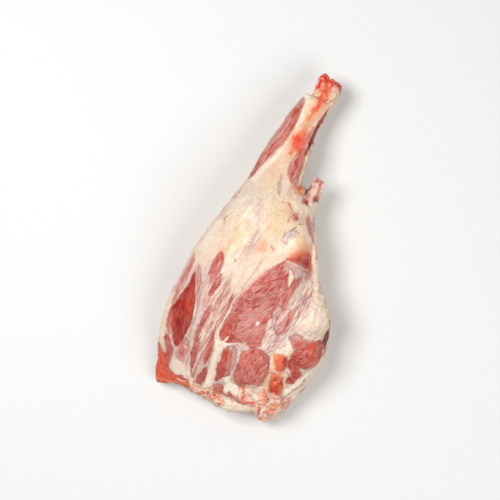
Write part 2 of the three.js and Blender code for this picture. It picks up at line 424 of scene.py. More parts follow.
@dataclass(frozen=True)
class Layer:
    """One tissue laid over what lies below it.

    Attributes:
        tissue: What it is.
        shape: Where it is, seen from above.
        cover: How much of what lies below it hides, from 0 to 1.
        edge: How soft its border is.
        ragged: How far its border wanders.
        patchy: How much its cover comes and goes, from 0 to 1.
        patch: The size of the patches where it comes and goes.
        rise: How far it stands up, negative for a hollow.
        bevel: How wide the slope at its border is.
        grain: The turn of its fibres from +Y towards +X in degrees, or None to keep what is below.
        cut: Whether the fibres are cut across, so that their ends show.
    """

    tissue: Tissue
    shape: Shape
    cover: float = 1.0
    edge: float = 0.9
    ragged: float = 0.9
    patchy: float = 0.0
    patch: float = 5.0
    rise: float = 0.0
    bevel: float = 2.0
    grain: float | None = None
    cut: bool = False

    def wander(self) -> float:
        """Says how far its border strays, which is little for a thin stroke so that it stays whole.

        Returns:
            The most that the border moves in or out.
        """
        if isinstance(self.shape, Stroke):
            return min(self.ragged * WANDER, self.shape.half() * 0.7)
        return self.ragged * WANDER


def area(tissue: Tissue, cover: float, *corners: Point, **looks: Any) -> Layer:
    """A layer over a closed outline, with its other fields by name."""
    return Layer(tissue, Area(corners), cover, **looks)


def stroke(tissue: Tissue, cover: float, *points: tuple[float, float, float], **looks: Any) -> Layer:
    """A layer along a line of points and half widths, with its other fields by name."""
    return Layer(tissue, Stroke(points), cover, **looks)


def oval(tissue: Tissue, cover: float, *sizes: float, **looks: Any) -> Layer:
    """A layer over an oval of given sizes, with its other fields by name."""
    return Layer(tissue, Oval(*sizes), cover, **looks)


# A strand's points: the shares of its reach, of its bow and of its half width
STRAND_POINTS = ((-1, 0, 0.2), (-0.4, 0.8, 1), (0.3, 1, 0.9), (1, -0.2, 0.15))


@dataclass(frozen=True)
class Strands:
    """Many thin strokes that run one way over an area.

    Attributes:
        tissue: What they are.
        area: Where their middles lie.
        count: How many there are.
        turn: The way they run, from +Y towards +X in degrees.
        length: How long the longest are.
        half: Half the width of the broadest.
        cover: How much they hide.
        rise: How far they stand up.
        seed: Picks their places.
    """

    tissue: Tissue
    area: Area
    count: int
    turn: float
    length: float
    half: float = 0.8
    cover: float = 0.75
    rise: float = 0.0
    seed: int = 1

    def layers(self) -> tuple[Layer, ...]:
        """Scatters the strands over the area.

        Returns:
            One layer for each strand.
        """
        rng = np.random.default_rng(self.seed)
        low, high = self.area.limits()
        spots = rng.uniform(low, high, (self.count * 6, 2))
        spots = spots[self.area.depth(spots) > 0][: self.count]
        made = []
        for x, y in spots:
            angle = math.radians(self.turn + rng.normal(0, 6))
            reach = self.length * rng.uniform(0.35, 1) / 2
            bow = rng.normal(0, 0.07) * reach
            half = self.half * rng.uniform(0.5, 1)
            points = []
            for share, side, width in STRAND_POINTS:
                along, across = share * reach, side * bow
                points.append((x + along * math.sin(angle) + across * math.cos(angle),
                               y + along * math.cos(angle) - across * math.sin(angle), half * width))
            looks = {"edge": 0.7, "ragged": 0.4, "rise": self.rise, "bevel": 1}
            made.append(stroke(self.tissue, self.cover, *points, **looks))
        return tuple(made)


# The inner side, from the shank down to the cut hip end. A stroke's points are x, y and half its width,
# and an oval's numbers are x, y, its reach across and along, and its turn.

SHANK_LAYERS = (
    stroke(PEACH_FAT, 0.45, (8, 168, 7), (2, 140, 10), (-8, 110, 12), (-14, 82, 14), edge=4),
    stroke(WHITE_FAT, 0.9, (-3, 166, 4), (-5, 148, 4), (-8, 132, 2), edge=2, rise=0.4),
    stroke(YELLOW_FAT, 0.7, (0, 167, 3.5), (-2, 150, 3.5), edge=2),
    stroke(WHITE_FAT, 1, (-14, 112, 2), (-21, 96, 3.4), (-31, 78, 4), (-38, 62, 3), edge=2.4, rise=0.5),
    area(PALE_LEAN, 1, (-43, 62), (-40, 84), (-33, 108), (-26, 134), (-17, 157), (-12, 166), (-8, 165),
        (-8, 150), (-10, 135), (-14, 119), (-19, 104), (-27, 90), (-35, 77), (-39, 63), edge=2.6, rise=-0.7,
        grain=17),
    stroke(RED_LEAN, 0.75, (-39, 84, 3), (-29, 96, 4), (-20, 112, 4.5), (-14, 132, 3.5), (-11, 148, 2.5),
        edge=2.5, patchy=0.4, grain=17),
    stroke(DEEP_LEAN, 0.7, (-44, 62, 1.5), (-41, 76, 3), (-38, 86, 2), edge=1.5, grain=15),
    stroke(PINK_MEMBRANE, 0.85, (-34, 98, 1.2), (-27, 112, 1.6), (-21, 127, 1.8), (-17, 140, 1), edge=1.2,
        rise=0.5),
    stroke(MEMBRANE, 0.5, (-36, 104, 1), (-29, 124, 1.4), (-20, 148, 1.2), (-14, 164, 1), edge=1.5),
    oval(FLAME_LEAN, 0.7, -15, 150, 2, 3.4, 20, edge=1.6),
    stroke(PINK_MEMBRANE, 0.7, (-13, 154, 1), (-11, 162, 1.6), (-10, 167, 1), edge=1.6),
    stroke(LEAN, 0.8, (-38, 86, 1.4), (-32, 97, 2.6), (-27, 104, 1.6), edge=1.8, grain=17),
    area(WHITE_FAT, 1, (-12, 164), (-11, 172), (-6, 176), (-2, 173), (-3, 168), (-7, 166), edge=0.8,
        rise=0.6),
    area(LEAN, 1, (-3, 80), (-1, 96), (2, 110), (7, 114), (11, 106), (12, 92), (12, 76), (9, 68), (4, 68),
        (0, 73), edge=2.2, rise=-0.6, grain=4),
    stroke(RED_LEAN, 0.6, (2, 78, 1.6), (3, 92, 2.2), (7, 108, 1.6), edge=2.2, grain=4),
    stroke(PINK_MEMBRANE, 0.6, (-2, 76, 1), (-1, 88, 1.2), (1, 100, 0.8), edge=1.8),
    stroke(DEEP_LEAN, 0.5, (8, 78, 0.7), (8.5, 92, 0.9), (9, 104, 0.7), edge=1.2, grain=4),
    stroke(PINK_MEMBRANE, 0.7, (8, 66, 3.5), (6, 80, 1.4), (8, 96, 1), (9, 110, 1), edge=1.6),
    stroke(FAT, 1, (13, 62, 2), (14, 80, 1.9), (13.5, 100, 1.6), (12, 112, 0.6), edge=1, rise=0.6),
    stroke(PALE_LEAN, 0.8, (6, 112, 3), (9, 124, 2.5), (11, 136, 2), edge=2, grain=10),
    stroke(DEEP_LEAN, 1, (11, 104, 1), (13, 122, 2.6), (16, 138, 3), (19, 149, 3), (22, 160, 2), edge=1.2,
        rise=-1.2, grain=10),
    stroke(MAROON, 0.7, (12, 112, 0.8), (13, 124, 1.4), (14.5, 136, 1.6), (16, 146, 1), edge=1.2, grain=10),
    stroke(RED_LEAN, 0.8, (18, 150, 1.6), (21, 158, 1.8), (22, 164, 0.8), edge=1.2, grain=14),
    stroke(WHITE_FAT, 0.7, (14.5, 146, 0.5), (18, 157, 0.7), (20, 164, 0.5), edge=0.8),
    stroke(GRISTLE, 0.8, (10.5, 120, 0.6), (12, 132, 0.8), (11, 142, 0.7), edge=0.8, rise=0.5),
    stroke(GRISTLE, 0.8, (15, 115, 0.8), (15.5, 120, 0.6), edge=0.7, rise=0.3),
    oval(ORANGE, 0.6, 3, 136, 4.5, 8, 8, edge=4),
    oval(ORANGE, 0.7, -3, 110, 7, 15, 10, edge=4, patchy=0.3),
    oval(CORAL, 0.7, -2, 117, 7, 12, 12, edge=3, ragged=1.6, patchy=0.3),
    area(BLOOD, 0.6, (-9, 112), (-9, 120), (-4, 121), (-1, 131), (3, 129), (6, 119), (3, 111), (-1, 106),
        (-5, 108), edge=2, ragged=2, patchy=0.2, patch=4, grain=8),
    stroke(CORAL, 0.5, (-6, 100, 1.6), (-4, 106, 2), (1, 124, 2), (3, 134, 1), edge=2, ragged=2),
    oval(BLOOD, 1, -2, 114.5, 3, 6.5, 14, edge=2.4),
    oval(BLOOD, 0.7, -6.5, 101, 1.6, 1.8, edge=1.2),
    stroke(ORANGE, 0.55, (17, 172, 4), (15, 158, 4), (10, 146, 3), edge=2.4),
    stroke(CORAL, 0.95, (2, 144, 0.6), (5, 152, 2.4), (8, 160, 4.4), (11, 168, 6), (13, 180, 7), edge=2.2,
        ragged=1.6, patchy=0.2, patch=6),
    stroke(BLOOD, 0.7, (6, 154, 1), (9, 163, 2.6), (11, 172, 3), edge=2, ragged=1.6, patchy=0.5, patch=4),
    stroke(BONE, 0.9, (20, 160, 2), (26, 174, 3), edge=1),
)

TENDON_END = Area(((26, 58), (25, 70), (25, 82), (28, 87), (34, 84), (42, 84), (41, 70), (38, 58), (32, 52)))
HOCK_LAYERS = (
    stroke(PALE_LEAN, 0.45, (5, 64, 2.5), (5, 54, 1.5), edge=2.5),
    stroke(MAUVE, 0.85, (-9, 74, 1), (-8, 62, 2.4), (-5, 50, 1), edge=2, ragged=1.6, rise=-0.6),
    stroke(WHITE_FAT, 0.6, (-5, 70, 0.8), (-3, 60, 1.4), (0, 52, 0.8), edge=2, rise=0.4),
    area(FAT, 0.8, (10, 60), (10, 46), (22, 40), (34, 44), (35, 54), (26, 58), (18, 62), edge=3, ragged=2,
        rise=0.8),
    area(ORANGE, 0.85, (11, 58), (10, 68), (15, 72), (21, 67), (20, 60), (15, 56), edge=1.6, ragged=1.4),
    oval(FLAME_LEAN, 0.8, 13.5, 66, 2.6, 3, 0, edge=1.4),
    oval(BLOOD, 0.8, 17.5, 67.5, 1.3, 1.6, 0),
    oval(PINK_MEMBRANE, 0.8, 23, 57, 5, 6, 0, edge=1.6, ragged=1.5),
    area(MAROON, 0.9, (20, 62), (22, 67), (25, 72), (28, 76), (29, 74), (26, 68), (25, 62), (22, 60),
        rise=-1.5),
    oval(RED_LEAN, 0.8, 24.5, 53, 3.4, 3.6, 0, edge=1.4, rise=-0.6),
    oval(MAROON, 0.45, 26, 52.5, 1.6, 2.4, 0, edge=1.4, rise=-0.6),
    oval(DEEP_LEAN, 0.5, 21, 52, 2, 2.6, 30, edge=1.4),
    area(GRISTLE, 0.9, (27, 60), (26, 70), (26, 80), (28, 86), (33, 84), (34, 79), (37, 84), (42, 82),
        (39, 72), (36, 60), (33, 50), (29, 50), edge=1, ragged=0.8, rise=0.5),
    Layer(PINK_MEMBRANE, TENDON_END, 0.8, edge=1.4, patchy=0.8),
    Layer(RED_LEAN, TENDON_END, 0.75, edge=1.2, patchy=1, patch=3, rise=-0.5),
    Layer(WHITE_FAT, TENDON_END, 0.6, edge=1.2, patchy=1, patch=2.4, rise=0.5),
    stroke(LEAN, 0.8, (28, 77, 1), (30, 79, 1.4), (32, 79, 1), edge=1.2, patchy=0.3),
    stroke(RED_LEAN, 0.9, (35, 75, 0.8), (36.5, 79, 1.5), edge=1, patchy=0.2),
    oval(YELLOW_FAT, 0.6, 31, 66, 3, 5, 0, edge=1.6),
    stroke(PALE_LEAN, 0.5, (31, 57, 1), (33, 66, 1.2), edge=1.2, patchy=0.6),
    oval(BROWN, 0.85, 36, 58.5, 1.4, 2.2, 10, rise=-0.4),
    oval(MAROON, 0.7, 8, 45.6, 1.2, 1.1, edge=0.7),
    oval(BLOOD, 0.7, 8, 45.6, 1.6, 1.3),
    stroke(ORANGE, 0.8, (-1, 44, 0.8), (3, 46, 0.7), (6, 45.5, 0.6), edge=0.8),
    stroke(MARROW, 0.7, (8, 44, 0.7), (12, 40, 0.8), (14, 34, 0.9), (11.5, 27, 0.7)),
    area(PALE_LEAN, 0.75, (14, 36), (20, 37), (23, 33), (20, 29), (15, 30), edge=1.6, ragged=1.5),
    oval(MAROON, 0.6, 20, 32, 2.2, 1.8, 60, edge=1.2),
    stroke(RED_LEAN, 0.85, (32, 38, 1.5), (35.5, 29, 2.8), (41, 20, 2.4), (45, 15, 1.2), edge=1.3,
        patchy=0.3, rise=-0.8, grain=-30),
    area(MEMBRANE, 0.8, (9, 4), (11, 13), (17, 19), (24, 22), (26, 13), (23, 5), (15, 1), edge=1.6,
        ragged=2.4, rise=0.6),
    area(LILAC, 0.9, (10, 8), (14, 17), (22, 20), (23, 12), (16, 7), edge=1.8, ragged=2, patchy=0.3,
        patch=4),
    area(WHITE_FAT, 0.9, (18, 6), (24, 14), (28, 12), (26, 3), (20, 1), edge=2, ragged=2, rise=0.4),
    stroke(BROWN, 0.6, (16.5, 17.5, 0.8), (19.5, 20, 0.9), (22, 23, 0.6), rise=-0.9),
    stroke(BROWN, 0.45, (11, 4, 0.5), (14, 2, 0.7), (17, 2.5, 0.5), edge=0.8, rise=-0.6),
    stroke(MARROW, 0.5, (21, 25, 0.5), (25, 27, 0.7), (29, 27, 0.4), edge=0.8),
)

KNEE_LAYERS = (
    area(WHITE_FAT, 0.7, (-52, 40), (-38, 48), (-20, 36), (-12, 22), (-24, 10), (-42, 8), (-54, 22), edge=8,
        patchy=0.4, rise=0.5),
    # The knee cap's grey patches and the grey-lilac streak down its middle are painted shade on the fat
    area(GREY_CREAM, 0.6, (-50, 34), (-40, 52), (-24, 50), (-14, 34), (-18, 14), (-30, 2), (-44, 8), edge=7,
        ragged=3, patchy=0.7, patch=10),
    stroke(GREY_CREAM, 0.8, (-40, 30, 1), (-32, 38, 2), (-22, 44, 2.4), (-16, 52, 1), edge=3, ragged=2),
    stroke(LILAC, 0.75, (-24, 38, 1.4), (-23, 26, 4), (-22, 14, 2.4), edge=3.6, ragged=3),
    # A whiter band over the knee's dome: whiter fat, and painted highlight where the dome faces the light
    stroke(WHITE_FAT, 0.9, (-36, 14, 2), (-33, 26, 4.4), (-29, 34, 1.6), edge=3.4, ragged=2, rise=0.5),
    stroke(WHITE_FAT, 0.7, (-14, 50, 1.4), (-16, 38, 2.4), (-14, 24, 1.4), edge=3, ragged=2),
    oval(PEACH_FAT, 0.4, -18, 66, 9, 16, -12, edge=8, ragged=3),
    area(YELLOW_FAT, 0.85, (-12, 40), (6, 36), (12, 24), (8, 8), (-8, 10), (-14, 24), edge=8, ragged=3,
        patchy=0.3, patch=9),
    area(ORANGE, 0.3, (2, 44), (10, 46), (14, 34), (12, 24), (6, 32), edge=5, ragged=3),
    area(PINK_MEMBRANE, 0.45, (14, 44), (24, 44), (32, 30), (26, 24), (16, 28), edge=4, ragged=3, patchy=0.5,
        patch=4),
    oval(YELLOW_FAT, 0.95, -37, -6, 9, 17, 5, edge=6, ragged=3, patchy=0.3),
    stroke(PEACH_FAT, 0.5, (-41, 8, 1), (-43, -8, 2.4), (-44, -22, 1.6), edge=3, ragged=2),
    oval(PEACH_FAT, 0.7, -26, 8, 12, 5, 60, edge=5, patchy=0.3),
    area(ORANGE, 0.5, (-12, -2), (-6, -3), (-3, -10), (-6, -16), (-13, -16), (-15, -9), edge=6, ragged=4,
        patchy=0.3),
    area(CORAL, 0.35, (-8, -2), (-3, -4), (-2, -12), (-8, -16), (-13, -10), edge=4, ragged=2),
    stroke(MARROW, 0.9, (0, -3, 0.4), (2, -6, 1.2), (5, -8.5, 1.2), (4, -11, 0.4), edge=1.2, ragged=1.6,
        rise=-0.4),
    oval(BLOOD, 0.7, 2.6, -7, 1.2, 1.4),
    stroke(LILAC, 0.5, (-17, 5, 1.4), (-20, -6, 3), (-20, -22, 4), (-25, -34, 3), edge=3, ragged=3,
        patchy=0.3),
    stroke(MAUVE, 0.8, (-17, 7, 1.4), (-20, -6, 5), (-22, -20, 7), (-27, -36, 5), edge=4, ragged=3,
        patchy=0.35, patch=8),
    stroke(WHITE_FAT, 0.7, (-28, -6, 1), (-29, -18, 1.4), (-32, -32, 1), edge=2.4, ragged=2),
    stroke(BLUSH, 0.7, (-10, -18, 2), (-15, -32, 3), (-22, -48, 2.4), edge=3, ragged=2),
    oval(CORAL, 0.35, -50, -23, 4, 5, 0, edge=4, ragged=2),
    area(WHITE_FAT, 1, (7, 3), (6, -8), (10, -14), (18, -8), (27, 0), (25, 14), (20, 4), (12, 1), edge=2.6,
        ragged=2, rise=0.6),
    area(YELLOW_FAT, 0.9, (26, 18), (34, 12), (38, 6), (28, 2), (25, 8), edge=3.6, ragged=2),
    stroke(CORAL, 0.4, (33, 14, 1), (38, 4, 2.4), (42, -2, 2.4), edge=4, ragged=2),
    oval(WHITE_FAT, 0.6, 4, -14, 6, 3, -10, edge=2.5),
    oval(PALE_LEAN, 0.75, -53, 37, 3, 3, 0, edge=1.6),
    stroke(PINK_MEMBRANE, 0.55, (-46, 58, 1), (-52, 46, 1.6), (-58, 30, 3), (-62, 12, 3), edge=3),
    oval(BROWN, 0.6, -48.5, 46, 0.9, 1.6, -20, edge=0.8),
    stroke(LILAC, 0.4, (-44, 58, 1.2), (-36, 56, 1.4), (-28, 54, 1), edge=1.6),
    stroke(LEAN, 0.7, (-55, 14, 0.8), (-57, 10, 0.9), (-56, 6, 0.5), edge=1),
    stroke(WHITE_FAT, 0.8, (-62, 6, 3), (-68, -10, 5), (-72, -26, 6), edge=3),
    stroke(ORANGE, 0.45, (-66, 6, 1.5), (-73, -8, 2), (-80, -26, 2), edge=2.5),
    stroke(LILAC, 0.6, (-54, 4, 0.6), (-53, -10, 0.8), (-54, -22, 0.5), edge=1),
    area(ORANGE, 0.85, (20, -8), (30, 2), (42, 10), (48, 0), (50, -12), (36, -16), edge=6),
    area(FLAME_LEAN, 0.9, (24, -11), (34, -4), (44, 1), (49, -10), (52, -22), (36, -17), (20, -17), edge=5,
        grain=40),
    area(RED_LEAN, 0.9, (30, -12), (38, -6), (46, -2), (50, -14), (53, -26), (44, -22), (34, -16), edge=4,
        rise=-0.4, grain=40),
    area(DEEP_LEAN, 0.9, (40, -10), (46, -6), (49, -14), (53, -27), (48, -28), (43, -18), edge=3.4,
        rise=-0.7, bevel=5, grain=40),
    stroke(RED_LEAN, 0.8, (22, -15, 2), (32, -13, 2), (44, -16, 2), edge=1.2, grain=60),
    stroke(WHITE_FAT, 0.9, (46, 16, 2), (51, 0, 3), (56, -16, 3.2), (62, -34, 4), edge=1.6, rise=1.4,
        bevel=3),
    stroke(PEACH_FAT, 0.6, (47, 12, 1), (51, -4, 1.2), (55, -20, 1), edge=1.5, patchy=0.5),
    stroke(PALE_LEAN, 0.6, (38, 40, 1.4), (43, 26, 2.2), (48, 12, 2), (53, -4, 1.4), edge=1.8, patchy=0.3,
        grain=-20),
    stroke(LILAC, 0.5, (41, 34, 1), (47, 18, 1.4), (53, 4, 1.2), edge=1.6, patchy=0.4),
)

BACK_LUMP = Area(((56, -50), (66, -40), (78, -48), (90, -66), (88, -88), (72, -93), (58, -86)))
THIGH_LAYERS = (
    area(MEMBRANE, 0.85, (-90, -40), (-60, -34), (-30, -36), (-10, -60), (10, -20), (60, -26), (92, -60),
        (96, -120), (76, -170), (44, -206), (-90, -196), (-98, -110), edge=9),
    area(PALE_LEAN, 0.42, (-60, -58), (-30, -52), (-24, -90), (-24, -120), (-28, -150), (-40, -180),
        (-60, -180), (-56, -120), edge=7, patchy=0.5, grain=4),
    area(FAT, 0.8, (-28, -22), (-4, -18), (6, -24), (-6, -48), (-22, -78), (-28, -70), (-30, -44), edge=4,
        patchy=0.2),
    area(FAT, 0.6, (-46, -26), (-28, -28), (-28, -56), (-34, -66), (-40, -60), (-45, -46), edge=5,
        patchy=0.3),
    area(FAT, 0.7, (-78, -28), (-58, -24), (-60, -44), (-66, -50), (-76, -44), edge=6),
    # Streaks of silver skin and fat that run down the front of the thigh.
    area(LEAN, 1, (-49, -25), (-44, -34), (-45.5, -48), (-50, -62), (-53, -66), (-55.5, -52), (-56, -40),
        (-53, -30), edge=1.6, rise=-0.8, grain=6),
    oval(RED_LEAN, 0.7, -51, -38, 2.6, 9, 8, edge=2.4, grain=6),
    area(LEAN, 0.95, (-42, -46), (-41, -58), (-45, -71), (-49.5, -77), (-49, -66), (-46, -54), edge=1.2,
        rise=-0.6, grain=18),
    area(PALE_LEAN, 0.8, (-36, -57), (-31, -55), (-30, -66), (-34, -78), (-38, -82), (-37, -68), edge=2,
        grain=8),
    area(LEAN, 0.9, (-47, -84), (-43, -90), (-47, -104), (-49, -118), (-52, -122), (-52, -108), edge=1.6,
        rise=-0.7, grain=8),
    stroke(PALE_LEAN, 0.85, (-50, -120, 2), (-47, -135, 3.4), (-47, -150, 3.6), (-44, -166, 2.5), edge=1.6,
        grain=-2),
    stroke(RED_LEAN, 0.6, (-49, -128, 1.4), (-47, -146, 1.8), (-46, -160, 2.2), (-43, -170, 1.4), edge=1.4,
        grain=-2, patchy=0.4),
    area(LEAN, 0.85, (-38, -100), (-34, -112), (-31, -124), (-29, -140), (-33, -150), (-37, -144),
        (-38, -128), (-41, -112), edge=1.8, rise=-0.7, grain=4),
    oval(RED_LEAN, 0.5, -34.5, -136, 2.4, 10, 4, edge=2, grain=4),
    area(PALE_LEAN, 0.6, (-42, -118), (-39, -126), (-40, -146), (-43, -158), (-45, -140), edge=1.6, grain=2),
    stroke(WHITE_FAT, 0.75, (-35, -46, 0.8), (-40, -62, 1), (-46, -78, 1.3), (-50, -92, 1), edge=1,
        rise=0.5),
    stroke(WHITE_FAT, 0.75, (-31, -60, 0.8), (-37, -78, 1.2), (-42, -98, 1.3), (-44, -120, 1),
        (-43, -146, 1.1), (-44, -170, 1), edge=1, rise=0.5),
    stroke(MEMBRANE, 0.75, (-28, -78, 1.4), (-33, -98, 1.6), (-39, -112, 1.2), (-41, -138, 1.4), edge=1.4,
        rise=0.4),
    stroke(WHITE_FAT, 0.85, (-27, -66, 1.4), (-29, -90, 1.3), (-30, -106, 1.4), (-27, -120, 1.6), edge=1.1,
        rise=0.6),
    stroke(LEAN, 0.35, (-57, -62, 0.5), (-53, -80, 0.6), (-54, -98, 0.5), edge=1.2),
    stroke(PINK_MEMBRANE, 0.7, (-66, -58, 3), (-62, -78, 4), (-58, -100, 4), (-59, -130, 5), edge=2.5),
    stroke(MEMBRANE, 0.85, (-58, -66, 1.6), (-56, -86, 2.4), (-56, -110, 2.6), (-57, -136, 2.2), edge=1.8,
        rise=0.8),
    stroke(WHITE_FAT, 0.7, (-69, -62, 0.6), (-65, -74, 0.8), (-61, -88, 1), (-60, -104, 0.9),
        (-62, -122, 0.8), rise=0.5),
    # The deep red window on the front of the thigh, and what lies round it.
    stroke(PALE_LEAN, 0.6, (-80, -42, 3), (-83, -60, 4), (-86, -80, 4), (-89, -96, 2), edge=3, patchy=0.3,
        grain=4),
    stroke(LEAN, 0.9, (-77.5, -43, 2), (-79.5, -54, 3), (-82.5, -66, 3), (-84.5, -72, 1), edge=2.4,
        patchy=0.2, grain=4),
    stroke(LEAN, 0.75, (-86, -74, 2), (-86, -84, 2.6), (-87, -94, 1), edge=2, patchy=0.3, grain=4),
    stroke(PALE_LEAN, 0.75, (-70, -48, 1.2), (-68, -56, 2.4), (-65, -66, 2.4), (-62, -78, 1.4), edge=2.4,
        patchy=0.3, grain=-8),
    stroke(WHITE_FAT, 0.6, (-74, -40, 1.6), (-74.5, -50, 1.2), (-77, -60, 0.8), edge=2),
    stroke(FAT, 0.95, (-90, -84, 3), (-93, -104, 4), (-92, -124, 4), (-88, -144, 2.6), (-80, -158, 1.4),
        edge=1.6, rise=0.8),
    area(DEEP_LEAN, 1, (-73, -52), (-71, -64), (-66.5, -76), (-62.5, -90), (-61, -104), (-62, -120),
        (-66, -134), (-70, -143), (-76, -137), (-82, -131), (-88, -122), (-90, -108), (-86, -96), (-80, -84),
        (-75.5, -72), edge=1, ragged=0.8, rise=-1.6, bevel=3, grain=4),
    oval(FLAME_LEAN, 0.5, -69, -92, 4, 22, 4, edge=3.4, ragged=2, grain=4, patchy=0.3),
    oval(FLAME_LEAN, 0.5, -83, -112, 2.6, 9, 4, edge=2, ragged=2, grain=4, patchy=0.5, patch=3),
    area(MAROON, 0.45, (-66, -118), (-72, -138), (-84, -126), (-82, -104), (-74, -98), edge=4, ragged=3,
        patchy=0.7, patch=6, rise=-0.4, grain=4),
    stroke(PINK_MEMBRANE, 0.7, (-87, -108, 1.6), (-86, -120, 2), (-81, -130, 1.8), edge=1.2, ragged=2,
        patchy=0.6),
    stroke(WHITE_FAT, 0.9, (-80, -132, 0.9), (-76, -140, 1.1), (-71, -150, 1.2), edge=0.8, rise=0.6),
    area(RED_LEAN, 0.9, (-87, -132), (-80, -133), (-75, -143), (-71, -152), (-71, -164), (-78, -160),
        (-84, -150), edge=1.2, rise=-0.7, grain=-20),
    stroke(WHITE_FAT, 0.9, (-90, -128, 0.8), (-86, -142, 1), (-80, -153, 0.7), edge=0.8, rise=0.5),
    area(MEMBRANE, 0.9, (-69, -142), (-72, -154), (-70, -166), (-62, -174), (-52, -176), (-44, -174),
        (-47, -162), (-50, -148), (-56, -138), (-64, -134), edge=1.8, rise=0.9),
    area(WHITE_FAT, 0.75, (-68, -150), (-71, -164), (-62, -173), (-50, -174), (-47, -164), (-56, -156),
        edge=4, patchy=0.3),
    area(ROSE, 0.9, (-67, -134), (-60, -130), (-55, -138), (-56, -152), (-62, -155), (-67, -146), edge=3,
        ragged=2, patchy=0.2, grain=0),
    stroke(LEAN, 0.75, (-64, -136, 1), (-62, -142, 2.6), (-60, -149, 1.4), edge=2.4, ragged=2, grain=0),
    area(FLAME_LEAN, 1, (-92, -140), (-84, -150), (-78, -158), (-72, -167), (-65, -173), (-57, -171),
        (-50, -176), (-42, -180), (-50, -190), (-90, -200), (-96, -170), edge=1.2, rise=-0.8, grain=-60),
    stroke(ORANGE, 0.7, (-84, -186, 1.2), (-70, -184, 1.4), (-56, -182, 1.2), (-44, -180, 1), edge=1.2,
        patchy=0.4),
    stroke(WHITE_FAT, 0.7, (-60, -178, 0.8), (-54, -179, 1.2), (-48, -178, 0.6), edge=0.8),
    # The inner thigh muscle, its wavy surface and its lower lobe.
    area(LEAN, 1, (24, -15), (10, -26), (1, -39), (-6, -50), (-14, -64), (-20, -75), (-22, -88), (-26, -104),
        (-28, -114), (-22, -121), (-12, -122), (2, -117), (12, -119), (22, -116), (21, -104), (20, -92),
        (24, -82), (23, -72), (30, -62), (35, -48), (34, -34), (28, -22), edge=1.2, rise=-0.6, grain=32),
    area(PALE_LEAN, 0.9, (6, -60), (22, -52), (22, -70), (22, -90), (20, -114), (0, -116), (-12, -112),
        (-14, -92), (-4, -78), edge=6, patchy=0.2, grain=38),
    area(PINK_MEMBRANE, 0.5, (8, -70), (20, -66), (20, -80), (14, -90), (16, -104), (0, -108), (-8, -96),
        edge=6, patchy=0.4),
    stroke(RED_LEAN, 0.4, (4, -34, 3), (-4, -48, 4), (-12, -62, 4), (-18, -78, 3), edge=4, grain=30),
    area(ROSE, 0.6, (-10, -66), (6, -58), (20, -62), (20, -76), (8, -84), (-8, -88), (-18, -82), edge=6,
        ragged=3, patchy=0.3, patch=8, grain=40),
    stroke(DEEP_LEAN, 0.4, (-20, -82, 1), (-12, -74, 2.4), (-2, -70, 1.4), edge=3, ragged=2, grain=30),
    area(RED_LEAN, 0.9, (-23, -98), (-15, -103), (-12, -118), (-19, -123), (-28, -117), (-26, -106),
        edge=1.8, grain=24),
    stroke(RED_LEAN, 0.8, (-12, -70, 0.8), (-4, -72, 1), (4, -66, 1), (12, -63, 0.8), (20, -62, 0.6),
        rise=-1.2),
    stroke(RED_LEAN, 0.7, (-4, -77, 0.7), (4, -74, 0.9), (12, -68, 0.8), (20, -66, 0.6), rise=-0.9),
    stroke(RED_LEAN, 0.7, (2, -58, 0.6), (10, -54, 0.9), (16, -47, 0.9), (23, -43, 0.6), rise=-0.9),
    stroke(RED_LEAN, 0.6, (8, -44, 0.6), (15, -38, 0.8), (22, -35, 0.6), rise=-0.6),
    stroke(PINK_MEMBRANE, 0.45, (-8, -69, 0.6), (2, -62, 0.9), (10, -58, 1), (20, -52, 0.8), edge=1,
        rise=0.6),
    stroke(PINK_MEMBRANE, 0.5, (-2, -83, 0.6), (6, -78, 0.8), (14, -76, 0.8), (20, -72, 0.6), edge=1,
        rise=0.5),
    stroke(PINK_MEMBRANE, 0.45, (6, -48, 0.5), (14, -43, 0.9), (20, -40, 0.6), rise=0.5),
    stroke(MEMBRANE, 0.4, (-21, -91, 0.5), (-14, -89, 1), (-4, -85, 1.2), (8, -84, 0.5), edge=1.6,
        patchy=0.5),
    stroke(WHITE_FAT, 0.7, (-14, -122, 0.9), (-6, -119, 0.9), (4, -116, 0.7), rise=0.4),
    stroke(LEAN, 0.6, (-3, -35, 0.5), (-9, -48, 0.7), (-16, -62, 0.7), (-20, -74, 0.5), edge=0.8, rise=-1.0),
    stroke(WHITE_FAT, 0.6, (0, -30, 1), (-7, -44, 1.3), (-14, -57, 1.3), (-20, -70, 1), edge=1.2, rise=0.7),
    stroke(LILAC, 0.6, (-6, -32, 0.4), (-12, -44, 0.6), (-19, -58, 0.4), rise=-0.5),
    stroke(LILAC, 0.5, (-13, -26, 0.4), (-18, -40, 0.7), (-23, -54, 0.5), edge=1, rise=-0.4),
    area(RED_LEAN, 0.85, (17, -80), (20, -83), (17, -89), (13, -92), (14, -86), edge=1, rise=-0.8),
    oval(BLOOD, 0.8, -32.5, -30.5, 1, 1.2, edge=0.7),
    # Between the inner thigh muscle and the back of the leg.
    area(PINK_MEMBRANE, 0.6, (22, -44), (30, -46), (30, -60), (26, -72), (23, -66), (22, -54), edge=2,
        patchy=0.4, grain=20),
    area(LEAN, 0.9, (37, -30), (46, -28), (42, -38), (39, -50), (37, -62), (33, -71), (25, -64), (26, -56),
        (31, -46), (34, -40), edge=1.4, rise=-0.9, grain=14),
    stroke(PINK_MEMBRANE, 0.6, (27, -52, 1.2), (29, -61, 1.4), (27, -68, 1), edge=1.4, patchy=0.5, patch=3),
    oval(DEEP_LEAN, 0.7, 32.5, -57.5, 3.4, 1.8, edge=1.2, rise=-0.4),
    area(PINK_MEMBRANE, 0.75, (22, -15), (34, -14), (48, -20), (48, -28), (36, -28), (28, -27), (24, -22),
        edge=1.2, ragged=2.2, patchy=0.5, rise=0.5),
